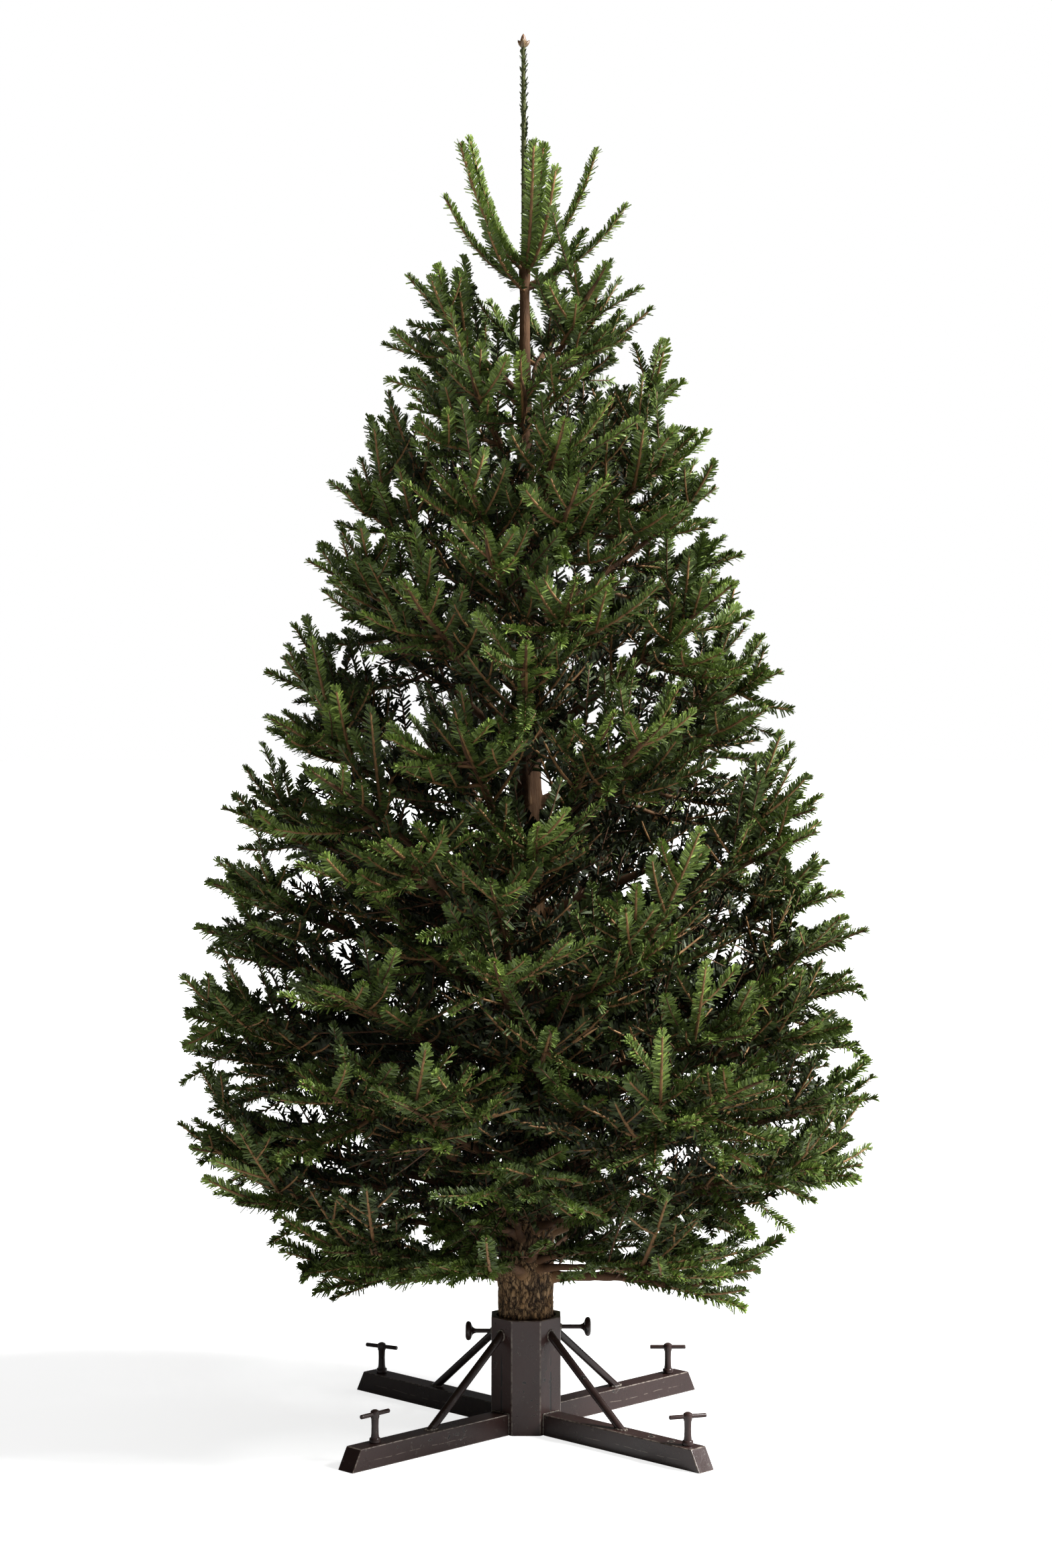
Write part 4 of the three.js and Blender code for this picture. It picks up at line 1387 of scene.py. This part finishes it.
class FIR_OT_trunk(bpy.types.Operator):
    """Build the trunk from its flat cut to the tip, with cracked bark at the foot"""

    bl_idname = "fir.trunk"
    bl_label = "Trunk"

    def execute(self, context):
        settings = context.scene.fir_bark
        limbs, _ = grown()
        piece = primitive(
            bpy.ops.mesh.primitive_uv_sphere_add, "trunk_bark", segments=TRUNK_SIDES,
            ring_count=TRUNK_RINGS, radius=1,
        )
        mesh = piece.data
        places = np.empty(len(mesh.vertices) * 3, np.float32)
        mesh.vertices.foreach_get("co", places)
        places = places.reshape(-1, 3).astype(float)
        polar = np.arccos(np.clip(places[:, 2], -1, 1))
        row = TRUNK_RINGS - np.round(polar / np.pi * TRUNK_RINGS).astype(int)
        turn = np.arctan2(places[:, 1], places[:, 0])
        heights, radii = trunk_rows()
        height, radius = heights[row], radii[row]
        smooth = np.stack([np.cos(turn) * radius, np.sin(turn) * radius, height], 1)
        groove, lump = bark_pattern(smooth, radius)
        rough = (1 - smooth_step(0.5, 1.5, height)) * smooth_step(0.07, 0.2, height + 0.1)
        relief = 0.0012 * rough - settings.crack_depth * rough * groove
        relief = relief + (0.0022 * rough + 0.0006) * lump
        relief = relief + root_swellings(limbs, turn, height, radius)
        relief = np.where(radius > 0.003, relief, 0) * smooth_step(0.0, 0.01, radius)
        out = radius + relief
        lean = TIP_LEAN * (height / TREE_HEIGHT) ** 3
        places = np.stack([np.cos(turn) * out + lean, np.sin(turn) * out, height], 1)
        mesh.vertices.foreach_set("co", places.astype(np.float32).ravel())
        mesh.update()
        bpy.ops.object.shade_smooth()
        # groove: where the bark's colour gets painted shade in the cracks between the plates
        add_attribute(piece, "groove", groove * rough)
        add_attribute(piece, "age", 1 - smooth_step(0.6, 1.3, height))
        add_attribute(piece, "green", smooth_step(2.15, 2.24, height) * 0.9)
        settle(piece, [bpy.data.materials["fir_bark"]], "bark", "trunk")
        return {"FINISHED"}


class FIR_OT_twigs(bpy.types.Operator):
    """Build the branches and twigs that carry the needles"""

    bl_idname = "fir.twigs"
    bl_label = "Twigs"

    def execute(self, context):
        _, shoots = grown()
        made, ages = [], []
        for thick, rings, sides in ((True, 7, 5), (False, 5, 3)):
            chosen = (shoots["thick"] > 0.0024) == thick
            root, bend, tip = (shoots[key][chosen][:, None] for key in ("root", "bend", "tip"))
            share = np.append(np.linspace(0, 0.985, rings - 1), 1.0)
            lines = bent(root, bend, tip, share[None, :])
            slim = shoots["thin"][chosen][:, None]
            radii = slim + (shoots["thick"][chosen][:, None] - slim) * (1 - share[None, :]) ** 0.8
            radii[:, -1] = 0
            places, faces = tubes(lines, radii, sides)
            age = smooth_step(0.0028, 0.0052, radii)
            age[shoots["order"][chosen] == INNER] = 1
            ages.append(np.repeat(age.ravel(), sides))
            made.append((places.reshape(-1, 3), faces))
        piece = joined_mesh("twigs", made)
        add_attribute(piece, "age", np.concatenate(ages))
        close_tips(piece)
        settle(piece, [twig_material()], "bark")
        return {"FINISHED"}


# Buds at the leader's tip: azimuth and lean from upright in radians, length and radius
LEADER_BUDS = [
    (0.0, 0.0, 0.0255, 0.0058), (0.35, 0.75, 0.019, 0.0042), (2.62, 0.7, 0.019, 0.0042),
    (4.63, 0.7, 0.019, 0.0042),
]
# Shoots that end deeper in the crown than this carry no bud
BUD_DEPTH = 0.16


def bud_material():
    finish = Finish("buds", (0.2, 0.1, 0.04), 0.45)
    places = finish.places()
    share = finish.span(finish.noise(places, 12.0, 1.0), 0.4, 0.6)
    colour = finish.blend(share, (0.16, 0.13, 0.05), (0.2, 0.07, 0.025))
    scales = finish.span(finish.cells(places, 520.0), 0.2, 0.7)
    finish.feed("Base Color", finish.blend(scales, colour, (0.09, 0.045, 0.02)))
    finish.bump(scales, 0.4, 0.0004)
    return finish.material


def spindles(roots, along, length, radius, sides):
    """Buds: plump, pointed pieces from their roots on."""
    share = np.array([0.0, 0.2, 0.5, 0.82, 1.0])
    lines = roots[:, None] + along[:, None] * (length[:, None] * share)[..., None]
    radii = radius[:, None] * np.array([0.62, 0.95, 1.0, 0.55, 0.0])
    places, faces = tubes(lines, radii, sides, above=np.array([0.21, 0.3, 0.93]))
    return places.reshape(-1, 3), faces


class FIR_OT_buds(bpy.types.Operator):
    """Set buds on the shoots' tips and at the top of the leader"""

    bl_idname = "fir.buds"
    bl_label = "Buds"

    def execute(self, context):
        random = np.random.RandomState(SEED + 3)
        _, shoots = grown()
        depth = depth_of(shoots)
        order = shoots["order"]
        carried = ((depth < BUD_DEPTH) | (order == UPRIGHT)) & (order != LEADER)
        tips = shoots["tip"][carried]
        along = bent_along(*(shoots[key][carried] for key in ("root", "bend", "tip")), 1.0)
        size = np.where(np.isin(order[carried], (LIMB_END, 1, UPRIGHT)), 1.0, 0.72)
        size = size * random.uniform(0.8, 1.15, len(size))
        made = [spindles(tips - along * 0.001, along, 0.0075 * size, 0.0021 * size, 5)]
        # limbs and upright shoots end in a terminal bud between two side buds
        paired = np.isin(order[carried], (LIMB_END, UPRIGHT))
        across = unit(np.cross(along[paired], UP + np.array([0.05, 0.02, 0])))
        for side in (-1, 1):
            out = unit(along[paired] + side * 0.85 * across)
            roots = tips[paired] - along[paired] * 0.004
            one = np.ones(paired.sum())
            made.append(spindles(roots, out, 0.0085 * one, 0.0019 * one, 5))
        foot = np.array([TIP_LEAN * 0.98, 0, 2.5745])
        for azimuth, lean, length, radius in LEADER_BUDS:
            level, rise = math.sin(lean), math.cos(lean)
            way = np.array([math.cos(azimuth) * level, math.sin(azimuth) * level, rise])
            made.append(
                spindles(foot[None], way[None], np.array([length]), np.array([radius]), 10)
            )
        piece = joined_mesh("buds", made)
        close_tips(piece)
        settle(piece, [bud_material()], "bark")
        return {"FINISHED"}


def depth_of(shoots):
    """How deep the shoots' tips lie in the crown, from its outline or its underside."""
    tips = shoots["tip"]
    from_side = interpolate(CROWN_OUTLINE, tips[:, 2]) - np.hypot(tips[:, 0], tips[:, 1])
    return np.minimum(from_side - shoots["inset"], 0.7 * (tips[:, 2] - 0.27))


# Depths in the crown between which needles thin out, and between which they grow longer
THINNING = (0.055, 0.165)
LENGTHENING = (0.16, 0.3)
# Ranks of needles: the share of all up to which a rank reaches, and the degrees from the top of the
# stem between which it stands. Most stand out to the sides, some over the top, few underneath
NEEDLE_RANKS = ((0.34, 66, 108), (0.64, 40, 70), (0.9, 18, 44), (1.01, 108, 140))
# How far needles lean from their stem, and how much less at its tip, in degrees
NEEDLE_LEAN = 58
TIP_LEAN_LOSS = 22
# Half the width of a needle's root and of its blunt tip, as shares of its width
HALF_ROOT, HALF_TIP = 0.42, 0.34


def combs(shoots, owner, at, random):
    """For each needle, its place on the stem, and the stem's directions along, up and across."""
    curve = [shoots[key][owner] for key in ("root", "bend", "tip")]
    place = bent(*curve, at)
    along = bent_along(*curve, at)
    across = np.cross(along, UP)
    weak = np.linalg.norm(across, axis=1) < 0.08
    across[weak] = np.cross(along[weak], -np.abs(place[weak]) * np.array([1, 1, 0]) - 0.01)
    across = unit(across)
    above = np.cross(across, along)
    # each shoot's comb is turned a little about its stem
    upright = shoots["order"] >= UPRIGHT
    turn = np.radians(np.where(upright, 0, random.normal(0, 32, len(upright))))[owner][:, None]
    above, across = (
        above * np.cos(turn) + across * np.sin(turn), across * np.cos(turn) - above * np.sin(turn)
    )
    return place, along, above, across


def rank_rolls(all_round, random):
    """How far from the stem's top each needle stands about it, in radians."""
    rank = random.random_sample(len(all_round))
    roll = np.zeros(len(all_round))
    last = 0.0
    for share, low, high in NEEDLE_RANKS:
        chosen = (rank >= last) & (rank < share)
        roll[chosen] = random.uniform(low, high, chosen.sum())
        last = share
    roll = np.where(all_round, random.uniform(0, 180, len(roll)), roll)
    return np.radians(roll) * np.where(random.random_sample(len(roll)) < 0.5, -1, 1)


def needle_arrays(shoots, settings, random):
    """Places of the four corners of every needle, its shoot, how far along and how deep it is."""
    length = np.linalg.norm(shoots["tip"] - shoots["root"], axis=1)
    depth = depth_of(shoots)
    upright = shoots["order"] >= UPRIGHT
    outer = np.where(upright, 1.0, 1 - smooth_step(*THINNING, depth))
    deep = smooth_step(*LENGTHENING, depth) * (1 - upright)
    per_metre = settings.needles_per_metre * shoots["dense"] * (0.22 + 0.78 * outer)
    along_shoot = (per_metre * length * (1 - shoots["bare"])).astype(int)
    at_tip = np.where(upright, 14, (4 + 14 * outer)).astype(int)
    counts = along_shoot + at_tip
    owner = np.repeat(np.arange(len(counts)), counts)
    number = np.arange(len(owner)) - np.repeat(np.cumsum(counts) - counts, counts)
    bare = shoots["bare"][owner]
    chance = random.random_sample(len(owner))
    at = bare + (1 - bare) * (number + chance) / np.maximum(along_shoot[owner], 1)
    tuft = number >= along_shoot[owner]
    at = np.where(tuft, 1 - 0.006 * chance / length[owner], at)
    leader = shoots["order"][owner] == LEADER
    place, along, above, across = combs(shoots, owner, at, random)
    roll = rank_rolls(tuft | leader, random)
    radial = above * np.cos(roll)[:, None] + across * np.sin(roll)[:, None]
    to_tip = (1 - at) * length[owner]
    lean = NEEDLE_LEAN - 8 * np.cos(roll) - TIP_LEAN_LOSS * (1 - smooth_step(0.0, 0.02, to_tip))
    lean = np.where(tuft, random.uniform(6, 46, len(owner)), lean)
    lean = np.where(leader, 30, lean)
    lean = np.radians(lean + random.normal(0, 6, len(owner)))
    heading = along * np.cos(lean)[:, None] + radial * np.sin(lean)[:, None]
    size = settings.needle_length * (0.82 + 0.26 * random.random_sample(len(owner)))
    size *= 1 + 0.5 * deep[owner]
    size *= 1 - 0.3 * np.clip(np.cos(roll), 0, 1)
    size *= 0.7 + 0.3 * smooth_step(0.0, 0.025, to_tip)
    size *= np.where(leader, 0.62, 1.0)
    width = settings.needle_width * (1 + 0.4 * (1 - outer[owner]) + 0.45 * deep[owner])
    flat = unit(np.cross(heading, above))
    twist = np.radians(random.normal(0, 26, len(owner)))[:, None]
    normal = np.cross(flat, heading)
    flat = flat * np.cos(twist) + normal * np.sin(twist)
    normal = np.cross(flat, heading)
    start = place + radial * (shoots["thin"][owner] * 0.8)[:, None]
    end = start + heading * size[:, None] + normal * (0.09 * size)[:, None]
    broad, narrow = flat * (width * HALF_ROOT)[:, None], flat * (width * HALF_TIP)[:, None]
    corners = np.stack([start - broad, start + broad, end + narrow, end - narrow], axis=1)
    return corners, owner, at, depth[owner]


# Greens, as shares of the full-grown needles' colour: name, lightness, warmth, roughness. The
# darkest are partly painted shade for needles deep in the crown
TINTS = [
    ("needles_deep_shade", 0.17, 0.0, 0.66),
    ("needles_dark", 0.5, 0.0, 0.55),
    ("needles_green", 1.05, 0.0, 0.48),
    ("needles_light", 1.75, 0.05, 0.43),
    ("needles_fresh", 2.7, 0.1, 0.43),
]
# Pieces of the foliage: name, tiers, and the side of the crown where a tier is in halves
NEEDLE_PIECES = [
    ("needles_foot", [0], None), ("needles_low_left", [1], "left"),
    ("needles_low_right", [1], "right"), ("needles_waist", [2], None),
    ("needles_middle", [3], None), ("needles_breast", [4], None), ("needles_high", [5], None),
    ("needles_crown", [6, 7], None), ("needles_top", [8, 9], None),
]


class FIR_OT_needles(bpy.types.Operator):
    """Clothe the shoots in needles"""

    bl_idname = "fir.needles"
    bl_label = "Needles"

    def execute(self, context):
        settings = context.scene.fir_foliage
        random = np.random.RandomState(SEED + 1)
        _, shoots = grown()
        corners, owner, at, depth = needle_arrays(shoots, settings, random)
        low, high = (np.array(corner) for corner in CAD_BOX)
        inside = ((corners > low + 0.0005) & (corners < high - 0.0005)).all(axis=(1, 2))
        corners, owner, at, depth = corners[inside], owner[inside], at[inside], depth[inside]
        by_shoot = random.random_sample(len(shoots["tier"]))[owner]
        by_needle = random.random_sample(len(owner))
        # needles deeper in the crown take darker tints: painted shade, partly the darker green of
        # older needles
        lightness = 1.0 - smooth_step(0.0, 0.2, depth) + 0.5 * (by_shoot - 0.5)
        lightness = lightness + 0.4 * (by_needle - 0.5) + 0.4 * (at - 0.6)
        lightness = lightness + np.where(shoots["order"][owner] >= UPRIGHT, 0.1, 0)
        tint = np.digitize(lightness, [0.15, 0.55, 0.98, 1.3])
        materials = []
        for name, share, warmth, roughness in TINTS:
            red, green, blue = (share * value for value in settings.green)
            colour = (red * (1 + warmth), green * (1 + 0.3 * warmth), blue)
            materials.append(needle_material(name, colour, roughness))
        tiers = shoots["tier"][owner]
        to_left = shoots["tip"][owner][:, 0] < 0
        for name, chosen_tiers, side in NEEDLE_PIECES:
            chosen = np.isin(tiers, chosen_tiers)
            if side:
                chosen &= to_left == (side == "left")
            places = corners[chosen].reshape(-1, 3)
            faces = np.arange(len(places)).reshape(-1, 4)
            piece = mesh_object(name, places, faces, tint[chosen])
            settle(piece, materials, "needles", *masses_of(chosen_tiers))
        return {"FINISHED"}


# Where the room's light comes from
LIGHT_WAY = (0.45, -0.1, 0.86)


def light_room(tree):
    """A white room behind the tree, whose light comes softly from above and the right."""
    room = Nodes(tree)
    shown = tree.nodes["Background"]
    shown.inputs["Color"].default_value = (1, 1, 1, 1)
    facing = room.node("ShaderNodeTexCoord").outputs["Generated"]
    inputs = {0: facing, 1: LIGHT_WAY}
    towards = room.node("ShaderNodeVectorMath", inputs, operation="DOT_PRODUCT").outputs["Value"]
    lit = room.node("ShaderNodeBackground", {"Strength": room.span(towards, 0.0, 0.9, 0.025, 0.6)})
    seen = room.node("ShaderNodeLightPath").outputs["Is Camera Ray"]
    choice = room.node("ShaderNodeMixShader", {0: seen, 1: lit.outputs[0], 2: shown.outputs[0]})
    tree.links.new(choice.outputs[0], tree.nodes["World Output"].inputs["Surface"])


# Sun: turn in degrees, strength, and its breadth in degrees, which softens the shadows
SUN_TURN, SUN_STRENGTH, SUN_BREADTH = (49, 0, 76), 12.0, 20
# Camera: turn in degrees, and width of its sensor in millimetres
CAMERA_TURN, SENSOR_WIDTH = (90 - 2.23, 0, 0), 36
# How brightly the floor glows for light that bounces on it, and for the camera
FLOOR_GLOW = (0.05, 0.78)


class FIR_OT_stage(bpy.types.Operator):
    """Lay the floor and set up light and camera"""

    bl_idname = "fir.stage"
    bl_label = "Stage"

    def execute(self, context):
        settings = context.scene.fir_stage
        floor = primitive(
            bpy.ops.mesh.primitive_circle_add, "floor", vertices=64, radius=40, fill_type="NGON"
        )
        finish = Finish("pale_floor", settings.floor, 0.9)
        finish.shader.inputs["Emission Color"].default_value = (1, 1, 1, 1)
        seen = finish.node("ShaderNodeLightPath").outputs["Is Camera Ray"]
        finish.feed("Emission Strength", finish.span(seen, 0.0, 1.0, *FLOOR_GLOW))
        floor.data.materials.append(finish.material)
        world = bpy.data.worlds.new("studio")
        world.use_nodes = True
        light_room(world.node_tree)
        context.scene.view_settings.view_transform = "Standard"
        context.scene.world = world
        bpy.ops.object.light_add(type="SUN", rotation=[math.radians(turn) for turn in SUN_TURN])
        sun = context.object.data
        sun.energy = SUN_STRENGTH
        sun.angle = math.radians(SUN_BREADTH)
        turns = [math.radians(turn) for turn in CAMERA_TURN]
        bpy.ops.object.camera_add(location=CAMERA_PLACE, rotation=turns)
        camera = context.object
        camera.data.lens = settings.focal_length
        camera.data.sensor_width = SENSOR_WIDTH
        context.scene.camera = camera
        return {"FINISHED"}


class FIR_OT_materials(bpy.types.Operator):
    """Mix the bark that trunk and limbs share"""

    bl_idname = "fir.materials"
    bl_label = "Shared bark"

    def execute(self, context):
        bark_material(context.scene.fir_bark)
        return {"FINISHED"}


OPERATORS = [
    FIR_OT_collar, FIR_OT_legs, FIR_OT_braces, FIR_OT_levelling_screws, FIR_OT_clamp_screws,
    FIR_OT_welds, FIR_OT_materials, FIR_OT_trunk, FIR_OT_limbs, FIR_OT_twigs, FIR_OT_buds,
    FIR_OT_needles, FIR_OT_stage,
]
SETTINGS = {
    "fir_stand": StandSettings, "fir_bark": BarkSettings, "fir_foliage": FoliageSettings,
    "fir_stage": StageSettings,
}


class FIR_PT_panel(bpy.types.Panel):
    """Lists the fir's pieces and their settings"""

    bl_label = "Cut fir"
    bl_idname = "FIR_PT_panel"
    bl_space_type = "VIEW_3D"
    bl_region_type = "UI"
    bl_category = "Fir"

    def draw(self, context):
        for name in SETTINGS:
            box = self.layout.box()
            settings = getattr(context.scene, name)
            for prop in settings.bl_rna.properties:
                if prop.identifier not in ("rna_type", "name"):
                    box.prop(settings, prop.identifier)
        for operator in OPERATORS:
            self.layout.operator(operator.bl_idname)


def register():
    for group in SETTINGS.values():
        bpy.utils.register_class(group)
    for operator in OPERATORS:
        bpy.utils.register_class(operator)
    bpy.utils.register_class(FIR_PT_panel)
    for name, group in SETTINGS.items():
        setattr(bpy.types.Scene, name, bpy.props.PointerProperty(type=group))


def unregister():
    for name in SETTINGS:
        delattr(bpy.types.Scene, name)
    bpy.utils.unregister_class(FIR_PT_panel)
    for operator in reversed(OPERATORS):
        bpy.utils.unregister_class(operator)
    for group in reversed(SETTINGS.values()):
        bpy.utils.unregister_class(group)


def main():
    register()
    bpy.ops.fir.collar()
    bpy.ops.fir.legs()
    bpy.ops.fir.braces()
    bpy.ops.fir.levelling_screws()
    bpy.ops.fir.clamp_screws()
    bpy.ops.fir.welds()
    bpy.ops.fir.materials()
    bpy.ops.fir.trunk()
    bpy.ops.fir.limbs()
    bpy.ops.fir.twigs()
    bpy.ops.fir.buds()
    bpy.ops.fir.needles()
    bpy.ops.fir.stage()


if __name__ == "__main__":
    main()
